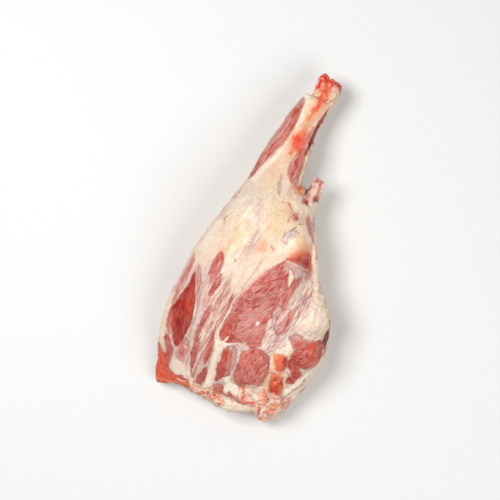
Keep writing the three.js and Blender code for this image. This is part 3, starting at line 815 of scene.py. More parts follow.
    stroke(RED_LEAN, 0.8, (44, -22, 2.4), (49, -28, 2.4), edge=1.6, ragged=1.6, grain=30),
    area(MEMBRANE, 0.9, (46, -32), (57, -30), (60, -40), (59, -52), (57, -64), (51, -68), (47, -80),
        (45, -92), (39, -100), (33, -99), (39, -88), (42, -74), (40, -58), (42, -42), edge=1.4, ragged=1.3,
        rise=0.8),
    area(FAT, 0.7, (46, -34), (57, -31), (59, -40), (58, -50), (48, -48), (43, -46), edge=3),
    oval(LILAC, 0.8, 52, -54, 3, 6, 10, edge=2.4),
    oval(PALE_LEAN, 0.5, 52.5, -53, 1.8, 4, 0, edge=2, grain=0),
    stroke(LEAN, 0.6, (46, -64, 2), (43, -76, 2.6), (40, -86, 3), (35, -94, 2.4), edge=2, patchy=0.5,
        grain=14),
    stroke(GRISTLE, 0.95, (48.5, -65, 1.4), (50, -74, 2), (47, -84, 1.7), (45, -92, 1.8), (39, -99, 1.2),
        edge=0.8, ragged=1.4, rise=1, bevel=1.4),
    area(FAT, 1, (60, -28), (68, -41), (80, -49), (87, -60), (90, -70), (89, -80), (86, -88), (79, -92),
        (73, -93), (68, -91), (63, -88), (60, -80), (63, -70), (61, -56), (57, -42), edge=2, ragged=3,
        rise=1.2, bevel=5),
    Layer(YELLOW_FAT, BACK_LUMP, 0.5, edge=2, patchy=1, patch=9, rise=-0.5),
    Layer(WHITE_FAT, BACK_LUMP, 0.7, edge=2, patchy=1, patch=6, rise=0.7),
    Layer(MEMBRANE, BACK_LUMP, 0.5, edge=2, patchy=1, patch=3.4, rise=-0.6),
    area(WHITE_FAT, 0.8, (52, -62), (64, -52), (70, -70), (66, -92), (52, -90), (48, -76), edge=1.4,
        patchy=1, patch=4, rise=0.3),
    area(WHITE_FAT, 0.7, (68, -52), (80, -56), (86, -72), (80, -84), (68, -82), (64, -68), edge=5,
        patchy=0.4),
    stroke(LILAC, 0.5, (58, -84, 0.8), (66, -87, 1), (74, -89, 1.2), edge=1.2, patchy=0.4),
    oval(PEACH_FAT, 0.4, 84, -60, 2, 9, 20, edge=2),
    oval(GRISTLE, 0.9, 80.5, -51, 1.6, 1.8, 30, edge=0.6, rise=0.6),
    # The dark band down the right flank, below the back fat lump, is painted shade over the flank's dark red
    # muscle
    area(MAROON, 1, (88, -64), (92, -70), (98, -88), (98, -106), (90, -109), (84, -100), (85.5, -88),
        (88, -80), edge=1, ragged=1, rise=-1.2, grain=0),
    area(ROSE, 0.95, (47, -94), (58, -91), (69, -93), (70, -99), (60, -108), (54, -105), edge=2.6,
        ragged=2.4, patchy=0.15, rise=-0.4, grain=60),
    area(RED_LEAN, 0.6, (54, -100), (64, -97), (69, -98), (62, -106), (57, -106), edge=3, ragged=2,
        grain=60),
    stroke(MEMBRANE, 0.6, (48, -94, 0.6), (57, -95, 0.8), (66, -94, 0.5), edge=1.4, ragged=1.4),
    area(PALE_LEAN, 0.8, (26, -70), (40, -64), (46, -72), (45, -88), (40, -99), (32, -93), (27, -82), edge=2,
        patchy=0.4, patch=4, grain=16),
    oval(LEAN, 0.6, 42, -80, 2.6, 8, 10, edge=2, grain=16),
    area(LILAC, 0.85, (24, -72), (27, -82), (31, -91), (36, -99), (46, -99), (40, -108), (31, -121),
        (22, -117), (19, -105), (20, -92), (22, -82), edge=1.1, ragged=1.5, patchy=0.25, rise=0.7),
    area(WHITE_FAT, 0.75, (20, -96), (30, -94), (34, -104), (30, -119), (22, -116), edge=2, patchy=1,
        patch=4),
    area(PINK_MEMBRANE, 0.7, (30, -98), (40, -100), (38, -108), (30, -108), edge=2.4, patchy=0.5),
    stroke(GRISTLE, 0.7, (25, -94, 1.4), (29, -99, 1.6), (27, -106, 1.8), (26, -114, 1.6), edge=1.2,
        patchy=0.5, ragged=1.4, rise=0.4),
    oval(LEAN, 0.8, 29, -80, 1.6, 2, 0, edge=1),
    area(WHITE_FAT, 1, (44, -98), (50, -101), (52, -106), (55, -110), (56, -117), (46, -117), (36, -119),
        (28, -119), (38, -114), (44, -111), (48, -105), edge=1, ragged=1.4, rise=0.8),
    stroke(LILAC, 0.4, (47, -112, 1.4), (40, -115, 1.2), (32, -118, 0.8), edge=1.6, ragged=2),
)

ROUND_CUT = Area(((6, -126), (18, -120), (32, -130), (35, -144), (28, -158), (12, -162), (3, -150),
                  (2, -136)))
SIDE_CUT = Area(((60, -110), (72, -100), (86, -96), (88, -112), (80, -124), (64, -120), (64, -142),
                 (58, -134)))
CUT_EDGE = Area(((-42, -176), (-28, -178), (-14, -179), (-2, -183), (0, -192), (-14, -198), (-44, -194)))
TORN_MIDDLE = Area(((14, -160), (36, -158), (42, -166), (46, -176), (36, -184), (18, -184), (12, -172)))
TORN_CORNER = Area(((35, -160), (56, -168), (70, -166), (68, -180), (50, -204), (38, -201), (34, -184)))
BOTTOM_FAT = Area(((-16, -182), (0, -184), (14, -186), (32, -184), (38, -190), (26, -200), (0, -202),
                   (-14, -194)))
CUT_LAYERS = (
    area(FAT, 0.9, (30, -122), (36, -118), (58, -116), (60, -150), (62, -170), (40, -176), (36, -160),
        (38, -140), edge=3, ragged=1.6),
    area(ORANGE, 0.6, (32, -118), (48, -116), (55, -124), (54, -136), (46, -139), (40, -134), (38, -124),
        edge=2.4),
    area(RED_LEAN, 0.95, (58, -108), (64, -105), (70, -98), (79, -93), (88, -90), (93, -100), (89, -112),
        (86, -122), (78, -127), (68, -125), (60, -121), (56, -114), edge=1.1, rise=0.6, bevel=3, grain=40,
        cut=True),
    area(FLAME_LEAN, 0.8, (70, -96), (79, -93), (82, -102), (76, -108), (70, -104), edge=2.4, grain=40,
        cut=True),
    oval(DEEP_LEAN, 0.55, 66, -115, 6, 8, 20, edge=2.5, cut=True),
    stroke(PALE_LEAN, 0.6, (58, -110, 0.4), (64, -107, 0.6), (70, -111, 0.5), (72, -119, 0.4), edge=0.8,
        rise=-0.5),
    stroke(FAT, 0.95, (92, -104, 3), (91, -114, 3), (86, -124, 2), edge=1, ragged=1.4, rise=0.6),
    oval(PALE_LEAN, 0.4, 91, -109, 1.6, 3, 0, edge=1.4),
    area(RED_LEAN, 0.95, (55, -118), (62, -123), (68, -127), (74, -132), (73, -138), (67, -146), (60, -149),
        (57, -145), (62, -138), (60, -132), (55, -129), edge=1, rise=-0.6, grain=-20, cut=True),
    area(DEEP_LEAN, 0.7, (54, -117), (60, -111), (70, -117), (71, -126), (63, -131), (55, -131), edge=1.4,
        grain=30, cut=True),
    Layer(FLAME_LEAN, SIDE_CUT, 0.4, edge=3, ragged=3, patchy=0.6, patch=6, grain=40, cut=True),
    Layer(PALE_LEAN, SIDE_CUT, 0.55, edge=2, ragged=3, patchy=1, patch=2.6, rise=0.4, grain=40, cut=True),
    oval(DEEP_LEAN, 0.5, 63, -144, 4, 2.6, 60, edge=1.6, cut=True),
    stroke(PALE_LEAN, 0.7, (57, -113, 0.4), (62, -108, 0.6), (69, -107, 0.6), (73, -113, 0.5),
        (72, -124, 0.4), edge=0.8, rise=0.4),
    stroke(DEEP_LEAN, 0.6, (84, -92, 1.4), (88, -102, 2.4), (86, -114, 1.6), edge=2.4, ragged=1.6, cut=True),
    area(CORAL, 0.95, (38.5, -118), (46, -116.5), (53, -119), (54, -130), (51, -137), (43, -136), (40, -127),
        edge=2.2, ragged=1.4, rise=0.8, bevel=3, grain=0, cut=True),
    area(FLAME_LEAN, 0.75, (46, -118), (53, -119), (54, -130), (50, -136), (45, -131), edge=3, grain=0,
        cut=True),
    area(RED_LEAN, 0.8, (42, -118), (53, -118), (55, -130), (51, -137), (44, -134), edge=2, patchy=1,
        rise=-0.5, grain=0, cut=True),
    stroke(DEEP_LEAN, 0.6, (52, -120, 0.8), (53.5, -128, 1.6), (50, -135, 1), edge=2, ragged=1.6),
    stroke(ORANGE, 0.7, (39, -119, 1), (40, -127, 1.4), (43, -134, 0.8), edge=1.6, ragged=1.6),
    stroke(LILAC, 0.6, (54, -135, 0.6), (59, -136, 1), (63, -139, 0.4), edge=1.6, ragged=1.4),
    stroke(GRISTLE, 0.8, (54, -132, 0.6), (60, -134, 0.7), edge=0.8, rise=0.5),
    stroke(GRISTLE, 0.7, (55, -139, 0.6), (61, -138, 0.6), edge=0.8, rise=0.4),
    oval(ORANGE, 0.65, 49, -156, 10, 18, 4, edge=4, patchy=0.3),
    area(CORAL, 0.85, (41, -141), (48, -139), (53, -146), (57, -156), (57, -165), (52, -168), (45, -166),
        (41, -158), (40, -148), edge=3, ragged=2, rise=0.6, bevel=4, grain=0, cut=True),
    area(FLAME_LEAN, 0.8, (44, -141), (49, -142), (53, -150), (55, -164), (50, -167), (45, -163), (43, -152),
        edge=3, ragged=2, patchy=0.3, patch=4, grain=0, cut=True),
    stroke(DEEP_LEAN, 0.5, (51, -150, 1.2), (52, -158, 1.4), (53, -165, 1.2), (48, -163, 1.2),
        (45, -157, 0.8), edge=1.4, rise=-0.5),
    area(RED_LEAN, 0.8, (43, -143), (51, -142), (55, -152), (56, -165), (49, -166), (43, -158), edge=2,
        patchy=1, rise=-0.5, grain=0, cut=True),
    stroke(MARROW, 0.7, (42, -144, 0.8), (42, -152, 1.6), (44, -160, 1), edge=1.6, ragged=1.6),
    oval(BROWN, 0.4, 54, -143, 2, 2.4, 20, edge=1.4),
    stroke(LILAC, 0.8, (33, -124, 1), (36, -134, 1.8), (36, -146, 1.8), (34, -154, 1), edge=1.2, patchy=0.3),
    stroke(PEACH_FAT, 0.6, (39, -138, 1.4), (39.5, -150, 2), (39, -162, 2), edge=1.6),
    area(LEAN, 1, (3, -126), (11, -119), (22, -117.5), (32, -123), (38, -136), (37.5, -148), (32, -158),
        (23, -162), (13, -167), (5, -164), (0.5, -150), (0, -136), edge=1.2, ragged=1, rise=0.5, bevel=4,
        grain=20, cut=True),
    stroke(CORAL, 0.4, (36, -138, 1), (33, -150, 2.4), (26, -159, 2), (14, -164, 2), edge=3, patchy=0.4,
        cut=True),
    oval(RED_LEAN, 0.4, 19, -138, 11, 15, 10, edge=5, ragged=3, patchy=0.6, cut=True),
    oval(DEEP_LEAN, 0.6, 20, -144, 4, 6, 10, edge=3, ragged=3, patchy=0.5, cut=True),
    area(PALE_LEAN, 0.6, (4, -130), (10, -124), (12, -136), (9, -150), (14, -162), (5, -162), (2, -148),
        edge=3, ragged=2, patchy=0.3, cut=True),
    Layer(CORAL, ROUND_CUT, 0.3, edge=5, ragged=3, patchy=0.5, patch=6, grain=20, cut=True),
    Layer(PALE_LEAN, ROUND_CUT, 0.5, edge=2, ragged=3, patchy=1, patch=2.4, rise=0.4, grain=20, cut=True),
    stroke(PEACH_FAT, 0.6, (38, -134, 0.8), (36, -150, 1), (28, -159, 1.2), (18, -162, 0.8), edge=1.8,
        ragged=2, patchy=0.4),
    stroke(DEEP_LEAN, 0.7, (13, -133, 0.3), (18, -138, 0.5), (20, -146, 0.6), (19, -155, 0.3), edge=0.8,
        rise=-0.5),
    stroke(DEEP_LEAN, 0.6, (24, -136, 0.3), (25, -144, 0.5), (23, -152, 0.3), edge=0.8, rise=-0.4),
    stroke(DEEP_LEAN, 0.5, (12, -146, 0.3), (16, -150, 0.5), (22, -151, 0.3), edge=0.8, rise=-0.4),
    stroke(MEMBRANE, 0.55, (23, -125, 0.3), (29, -132, 0.5), (31, -141, 0.5), (29, -150, 0.3), edge=0.7),
    stroke(MEMBRANE, 0.5, (27, -124, 0.3), (33, -133, 0.5), (34, -143, 0.4), edge=0.7),
    stroke(MEMBRANE, 0.4, (15, -124, 0.3), (22, -128, 0.5), (27, -136, 0.4), edge=0.7),
    area(DEEP_LEAN, 0.9, (-19, -128), (-13, -125), (-11, -136), (-10, -148), (-8, -157), (-12, -164),
        (-18, -168), (-20, -158), (-20, -142), edge=1.2, rise=-0.8, grain=-6),
    oval(FLAME_LEAN, 0.5, -15, -138, 2.6, 8, -4, edge=2.4, grain=-6),
    area(ROSE, 0.9, (-12, -126), (-6, -121), (-1, -128), (-1, -146), (-3, -158), (-8, -160), (-9, -148),
        (-11, -136), edge=1.6, ragged=1.6, grain=-8),
    stroke(RED_LEAN, 0.6, (-9, -126, 0.6), (-7, -140, 1.4), (-6, -154, 1), edge=1.6, ragged=1.4),
    stroke(LILAC, 0.6, (-6, -124, 0.8), (-4, -134, 1), (-3, -146, 0.8), edge=1.2, ragged=1.4),
    stroke(GRISTLE, 0.95, (0, -126, 1), (-0.6, -140, 1.2), (-1, -154, 1.3), (-4, -164, 1.4), edge=0.8,
        rise=0.6),
    area(WHITE_FAT, 1, (-31, -118), (-25, -121), (-19, -120), (-13, -124), (-17, -128), (-19.5, -135),
        (-19.5, -150), (-19.5, -164), (-17, -169), (-20, -176), (-28, -179), (-29, -172), (-27.5, -160),
        (-28.5, -146), (-28, -132), (-30.5, -124), edge=0.7, ragged=0.8, rise=1.4, bevel=2.4),
    stroke(PEACH_FAT, 0.6, (-26, -134, 0.6), (-25, -150, 1), (-25, -166, 0.8), edge=1.6, ragged=1.6,
        patchy=0.6),
    stroke(GRISTLE, 0.8, (-22, -126, 0.8), (-22, -146, 0.9), (-22, -170, 0.8), edge=1.2, ragged=1.6,
        rise=0.6, bevel=1),
    stroke(WHITE_FAT, 1, (-22, -123, 1.6), (-19, -118, 1), (-17, -114, 0.4), edge=0.7, rise=0.8),
    stroke(WHITE_FAT, 1, (-18, -124, 1.4), (-12, -121, 1), (-6, -119, 0.4), edge=0.7, rise=0.8),
    stroke(WHITE_FAT, 1, (-29, -122, 1.2), (-31, -116, 0.8), (-31, -108, 0.5), edge=0.7, rise=0.6),
    stroke(PINK_MEMBRANE, 0.7, (-18, -127, 1), (-12, -124, 1.4), (-4, -121, 0.8), edge=1.2),
    area(DEEP_LEAN, 0.85, (-34, -158), (-29, -155), (-28, -166), (-31, -176), (-39, -180), (-38, -170),
        edge=1.1, rise=-0.8, grain=10),
    stroke(MEMBRANE, 0.8, (-38, -158, 1), (-33, -153, 1.6), (-29, -152, 1), edge=1, rise=0.4),
    area(LEAN, 0.9, (-18, -170), (-10, -167), (-5, -176), (-9, -181), (-17, -179), edge=1.2, grain=50,
        cut=True),
    stroke(LEAN, 0.9, (-6, -177, 2.2), (6, -178, 2.8), (18, -181, 2.4), (30, -183, 1.8), edge=1.2, grain=80,
        cut=True),
    area(WHITE_FAT, 1, (-9, -160), (-3, -156), (1, -162), (7, -164), (14, -169), (17, -180), (8, -177),
        (0, -171), (-3, -179), (-7, -176), (-6, -167), edge=0.8, ragged=1, rise=1.1),
    stroke(FLAME_LEAN, 0.85, (15, -165, 1.8), (17, -172, 2.4), (19, -179, 2), edge=1.2, ragged=1.2),
    area(PINK_MEMBRANE, 0.85, (18, -163), (32, -160), (38, -166), (36, -176), (28, -181), (20, -178),
        edge=1.4, ragged=2),
    area(GRISTLE, 0.8, (20, -166), (30, -163), (36, -168), (32, -176), (24, -178), edge=1.2, ragged=2.4,
        patchy=0.5, rise=0.7),
    Layer(BLUSH, TORN_MIDDLE, 0.8, edge=2, patchy=0.3),
    Layer(PEACH_FAT, TORN_MIDDLE, 0.6, edge=1.4, patchy=1, grain=0, cut=True),
    Layer(CORAL, TORN_MIDDLE, 0.5, edge=2.4, ragged=2, patchy=1, patch=4, rise=-0.5, grain=70),
    Layer(WHITE_FAT, TORN_MIDDLE, 1, edge=1.6, ragged=2, patchy=0.7, patch=4, rise=1.2, grain=70),
    stroke(RED_LEAN, 0.45, (19, -167, 0.4), (22, -173, 1.1), (27, -172, 0.7), (31, -177, 1), (36, -176, 0.4),
        edge=1.4, ragged=2, rise=-0.6),
    stroke(LEAN, 0.5, (25, -163, 0.4), (27, -168, 0.9), (32, -167, 0.5), (35, -171, 0.6), edge=1.4, ragged=2,
        rise=-0.5),
    stroke(GRISTLE, 0.8, (22, -164, 0.8), (28, -165, 1), (34, -163, 0.7), edge=1, rise=0.7),
    stroke(FLAME_LEAN, 0.8, (15, -163, 1.4), (16.5, -171, 2.8), (19.5, -180, 2.2), (23, -183, 1), edge=1.8,
        ragged=2, patchy=0.5, patch=4),
    oval(MARROW, 0.7, 24, -170, 2.4, 1.4, 50, edge=1),
    oval(WHITE_FAT, 1, 34, -174, 1.8, 2, 0, edge=0.6, rise=0.8, bevel=1),
    area(FLAME_LEAN, 0.5, (38, -164), (46, -168), (45, -174), (40, -174), edge=2.4, ragged=2, patchy=0.6,
        patch=4),
    stroke(YELLOW_FAT, 0.6, (40, -160, 2), (46, -168, 2.4), (56, -170, 2), edge=2.4, ragged=2, patchy=0.4),
    stroke(FLAME_LEAN, 0.8, (22, -181, 1), (30, -180, 1.4), (37, -178, 1.4), (40, -186, 1.2), edge=1.2,
        ragged=1.2),
    area(WHITE_FAT, 1, (-14, -181), (0, -183), (14, -186), (30, -184), (36, -189), (24, -198), (0, -202),
        (-12, -192), edge=1, ragged=1.2, rise=0.8),
    Layer(PEACH_FAT, BOTTOM_FAT, 0.8, edge=2, ragged=2, patchy=1, patch=6, rise=-0.5, grain=80),
    Layer(BLUSH, BOTTOM_FAT, 0.7, edge=1.4, ragged=2, patchy=1, patch=3.4, rise=-0.5, grain=80),
    Layer(WHITE_FAT, BOTTOM_FAT, 0.9, edge=1.4, ragged=2, patchy=1, patch=4, rise=0.9, grain=80),
    area(PINK_MEMBRANE, 0.6, (-13, -182), (-4, -186), (-2, -192), (-10, -190), edge=1.4, ragged=1.8,
        patchy=0.4),
    area(ORANGE, 0.85, (-40, -176), (-28, -178), (-13, -178), (-12, -186), (-16, -196), (-42, -192),
        edge=1.6, ragged=2, patchy=0.3),
    area(FLAME_LEAN, 0.7, (-36, -178), (-26, -180), (-14, -180), (-16, -186), (-30, -187), edge=1.6,
        ragged=2.4, patchy=0.6),
    Layer(PEACH_FAT, CUT_EDGE, 0.8, edge=1.4, patchy=0.7, patch=6, grain=60, cut=True),
    Layer(CORAL, CUT_EDGE, 0.8, edge=1, patchy=1, patch=4, rise=-0.4, grain=20, cut=True),
    Layer(WHITE_FAT, CUT_EDGE, 0.9, edge=1, patchy=1, patch=3.4, rise=0.9, grain=60, cut=True),
    Layer(FLAME_LEAN, CUT_EDGE, 0.5, edge=1, patchy=1, patch=2.4, rise=-0.6, grain=50, cut=True),
    oval(PEACH_FAT, 0.8, -31, -182, 3, 2.4, 40, edge=1.2, ragged=1.6),
    oval(PEACH_FAT, 0.8, -20, -178, 2.4, 1.6, 60, edge=1.2, ragged=1.4),
    oval(MAROON, 0.8, -21.5, -183.5, 1.4, 1.2, edge=0.8),
    area(WHITE_FAT, 0.95, (84, -122), (89, -128), (83, -136), (76, -146), (68, -156), (60, -166), (56, -164),
        (60, -156), (68, -146), (76, -134), edge=1.4, ragged=1.2, rise=1, bevel=3),
    area(WHITE_FAT, 0.9, (90, -124), (86, -142), (80, -153), (72, -166), (66, -160), (74, -146), (82, -132),
        edge=1.8, ragged=1.2),
    stroke(PINK_MEMBRANE, 0.6, (84, -134, 0.6), (79, -143, 1), (72, -153, 1), (66, -161, 0.6), edge=1.2,
        ragged=1.2, patchy=0.4),
    oval(LEAN, 0.8, 77.5, -139, 1, 1.6, 30),
    oval(MAROON, 0.9, 78, -152.5, 1.1, 1, edge=0.7),
    area(MARROW, 0.7, (60, -164), (68, -162), (74, -170), (66, -182), (58, -186), edge=1.8, ragged=1.8,
        patchy=0.4),
    area(BLUSH, 0.9, (34, -162), (58, -164), (70, -166), (66, -180), (60, -192), (48, -206), (38, -200),
        (34, -184), edge=2),
    Layer(PEACH_FAT, TORN_CORNER, 0.5, edge=1.4, patchy=1, patch=6, rise=-0.6),
    Layer(CORAL, TORN_CORNER, 0.5, edge=1, patchy=1, patch=4, rise=-0.6, cut=True),
    Layer(WHITE_FAT, TORN_CORNER, 0.95, edge=1, patchy=0.9, patch=3.4, rise=1.1, cut=True),
    Layer(FLAME_LEAN, TORN_CORNER, 0.45, edge=1, patchy=1, patch=2.4, rise=-0.5, cut=True),
    area(WHITE_FAT, 0.8, (72, -143), (66, -152), (58, -158), (58, -166), (66, -166), (72, -156), (77, -146),
        edge=2, rise=0.5),
    stroke(CORAL, 0.8, (39, -165, 2), (42, -170, 2.4), (43, -174, 1.6), edge=1.6, ragged=1.3),
    oval(ORANGE, 0.6, 42, -178, 2, 3, 0, edge=1.4),
    stroke(WHITE_FAT, 0.95, (51, -171, 1.4), (47.5, -176, 2.2), (44, -183, 2), (42, -189, 1.6), edge=1.1,
        rise=0.5),
    area(ORANGE, 0.6, (50, -173), (58, -173), (60, -182), (54, -192), (46, -192), (47, -182), edge=2,
        patchy=0.3, patch=3),
    area(CORAL, 0.5, (50, -174), (58, -172), (59, -180), (52, -185), (47, -183), edge=2.4, ragged=2,
        patchy=0.6, patch=3),
    area(CORAL, 0.6, (60, -164), (69, -164), (70, -168), (66, -176), (60, -176), edge=2, ragged=2,
        patchy=0.6, patch=3.4),
    stroke(FLAME_LEAN, 0.6, (62, -167, 1.2), (65, -170, 1.2), (61.5, -173, 1), edge=1.2),
    area(WHITE_FAT, 0.8, (59, -176), (66, -178), (70, -181), (64, -181), (58, -188), (55, -192), (57, -184),
        edge=1.4, patchy=0.3),
    oval(BLOOD, 0.6, 46, -187, 1.6, 1, 60),
    oval(WHITE_FAT, 0.5, 49, -192, 4, 3, 60, edge=2, patchy=0.4, patch=3),
    oval(CORAL, 0.9, 45, -197.5, 2.6, 1.8, 60, edge=1.2),
    stroke(BLUSH, 0.9, (34, -182, 2.4), (37, -192, 2.4), edge=1.2),
    stroke(WHITE_FAT, 0.8, (35, -188, 1), (37, -194, 1.6), edge=1),
    stroke(FLAME_LEAN, 0.8, (37.5, -180, 0.7), (39, -186, 0.9), (40, -194, 0.8), rise=-0.7),
    oval(BLOOD, 0.6, 31, -181, 3.6, 2, -80, edge=1.4, patchy=0.3),
)

FRONT_SKIN = Area(((-44, -64), (-36, -30), (-24, -40), (-20, -60), (-30, -110), (-34, -124), (-42, -168),
                   (-52, -158), (-50, -100)))
BACK_SKIN = Area(((42, -36), (58, -34), (60, -60), (54, -90), (44, -100), (34, -98), (28, -80), (40, -66)))
SHANK_FRONT = Area(((-40, 66), (-30, 110), (-14, 150), (-10, 130), (-24, 90)))
CUT_RIM = Area(((84, -124), (88, -130), (70, -162), (60, -176), (56, -166), (74, -146)))
KNEE_SKIN = Area(((-60, 20), (-30, 60), (10, 50), (20, 10), (0, -30), (-40, -30)))
RIBS = Area(((4, -34), (20, -22), (26, -34), (24, -58), (12, -72), (-4, -80), (-8, -72), (4, -58), (2, -46)))
SMOOTH_END = Area(((-6, -84), (18, -80), (18, -112), (-10, -116), (-20, -100)))
SILVER_PATCH = Area(((24, -74), (30, -88), (36, -98), (46, -100), (38, -110), (28, -120), (21, -112),
                     (20, -92)))
# Each line gives the tissue, the area, the count, the turn, the length, half the width, the cover, the
# rise and the seed.
STRANDS = (
    Strands(RED_LEAN, RIBS, 16, 60, 24, 0.9, 0.7, -0.8, 41),
    Strands(PALE_LEAN, RIBS, 22, 60, 22, 1.1, 0.8, 0.7, 42),
    Strands(PINK_MEMBRANE, RIBS, 10, 60, 14, 0.6, 0.6, 0.5, 47),
    Strands(PINK_MEMBRANE, SMOOTH_END, 18, 20, 18, 0.6, 0.35, 0.3, 43),
    Strands(LEAN, SMOOTH_END, 14, 10, 22, 0.8, 0.4, -0.3, 44),
    Strands(PALE_LEAN, SILVER_PATCH, 20, 30, 16, 0.8, 0.7, -0.4, 45),
    Strands(WHITE_FAT, SILVER_PATCH, 20, 20, 14, 0.9, 0.8, 0.5, 46),
    Strands(MEMBRANE, FRONT_SKIN, 30, 18, 36, 1.0, 0.6, 0.3, 23),
    Strands(WHITE_FAT, FRONT_SKIN, 26, 13, 50, 0.8, 0.75, 0.4, 22),
    Strands(LEAN, FRONT_SKIN, 16, 12, 40, 1.2, 0.65, -0.5, 21),
    Strands(DEEP_LEAN, FRONT_SKIN, 10, 12, 30, 0.6, 0.6, -0.6, 20),
    Strands(DEEP_LEAN, BACK_SKIN, 8, 20, 18, 0.7, 0.6, -0.5, 19),
    Strands(LEAN, BACK_SKIN, 16, 18, 24, 1.0, 0.6, -0.4, 24),
    Strands(GRISTLE, BACK_SKIN, 18, 16, 24, 0.8, 0.8, 0.4, 25),
    Strands(PINK_MEMBRANE, SHANK_FRONT, 8, 18, 44, 0.8, 0.5, 0.3, 26),
    Strands(LEAN, SHANK_FRONT, 7, 18, 44, 1.0, 0.45, -0.3, 27),
    Strands(WHITE_FAT, KNEE_SKIN, 26, 20, 30, 1.0, 0.5, 0.3, 30),
    Strands(PEACH_FAT, KNEE_SKIN, 24, 20, 26, 1.0, 0.5, -0.3, 31),
)
CUT_STRANDS = (
    Strands(PALE_LEAN, ROUND_CUT, 30, 62, 14, 0.6, 0.8, 0.5, 51),
    Strands(PINK_MEMBRANE, ROUND_CUT, 16, -10, 11, 0.5, 0.75, 0.3, 52),
    Strands(DEEP_LEAN, ROUND_CUT, 20, 40, 12, 0.5, 0.6, -0.6, 53),
    Strands(PALE_LEAN, SIDE_CUT, 16, 28, 16, 0.5, 0.65, 0.3, 54),
    Strands(MAROON, SIDE_CUT, 14, 24, 16, 0.6, 0.5, -0.5, 55),
    Strands(PINK_MEMBRANE, CUT_RIM, 12, 36, 20, 0.9, 0.7, -0.4, 29),
    Strands(WHITE_FAT, CUT_RIM, 14, 36, 22, 0.8, 0.85, 0.6, 28),
    Strands(CORAL, CUT_RIM, 5, 36, 9, 0.5, 0.6, -0.3, 56),
)
FRONT_BANDS = (
    area(PINK_MEMBRANE, 0.8, (20, -17), (34, -15), (50, -20), (52, -30), (44, -28), (36, -30), (28, -28),
        (20, -26), edge=1.2, ragged=1.6, patchy=0.3, rise=0.4),
    area(MEMBRANE, 0.7, (36, -21), (49, -23), (46, -28), (37, -27), edge=1.6, ragged=1.4),
    stroke(WHITE_FAT, 0.8, (22, -16, 0.7), (34, -17.5, 0.9), (44, -20, 0.9), (48, -19, 0.5), ragged=1.6,
        rise=0.5),
    area(FAT, 1, (26.5, -21), (30, -25.5), (35.5, -31), (34.5, -37), (32, -45), (30, -41), (29.5, -36),
        (28.5, -30), edge=0.6, ragged=0.4, rise=1.8, bevel=1.4),
    stroke(WHITE_FAT, 0.7, (35, -31, 0.6), (34, -37, 0.6), (32.5, -43, 0.5), edge=0.7),
    stroke(LEAN, 0.95, (-44, -87, 0.8), (-46.5, -98, 1.8), (-49, -108, 2), (-51, -120, 0.8), edge=1.2,
        rise=-0.7, grain=10),
    stroke(LEAN, 0.85, (-50, -124, 1.6), (-48.5, -138, 2.6), (-47.5, -152, 2.4), (-46, -164, 1.2), edge=1.4,
        rise=-0.6, grain=2, patchy=0.2),
    stroke(RED_LEAN, 0.85, (-35, -116, 1.4), (-34, -130, 2.6), (-33.5, -144, 2.6), (-34, -152, 1), edge=1.4,
        rise=-0.7, grain=4, patchy=0.2),
    stroke(PINK_MEMBRANE, 0.7, (-42, -110, 1), (-41.5, -130, 1.8), (-42.5, -150, 1.8), (-41, -166, 1),
        edge=1.6, patchy=0.3),
    stroke(WHITE_FAT, 0.8, (-53, -146, 0.8), (-50, -158, 1.4), (-46, -170, 2), (-41, -181, 2), edge=1.4,
        rise=0.6),
    stroke(YELLOW_FAT, 0.7, (-47, -166, 0.8), (-42, -179, 1.4), edge=1.2),
    stroke(BROWN, 0.5, (-4, -22, 0.3), (-8, -36, 0.45), (-13, -50, 0.5), (-18, -62, 0.45), (-22, -75, 0.3),
        edge=0.8, ragged=0.3, rise=-0.7),
    oval(WHITE_FAT, 1, 10.2, -91, 2.1, 2.7, 0, edge=0.5, ragged=0.3, rise=1.2, bevel=1),
)
STRAND_LAYERS = tuple(layer for strands in STRANDS for layer in strands.layers())
CUT_STRAND_LAYERS = tuple(layer for strands in CUT_STRANDS for layer in strands.layers())
INNER_LAYERS = (SHANK_LAYERS + KNEE_LAYERS + HOCK_LAYERS + THIGH_LAYERS + STRAND_LAYERS + FRONT_BANDS
                + CUT_LAYERS + CUT_STRAND_LAYERS)


# Laying the layers on a mesh


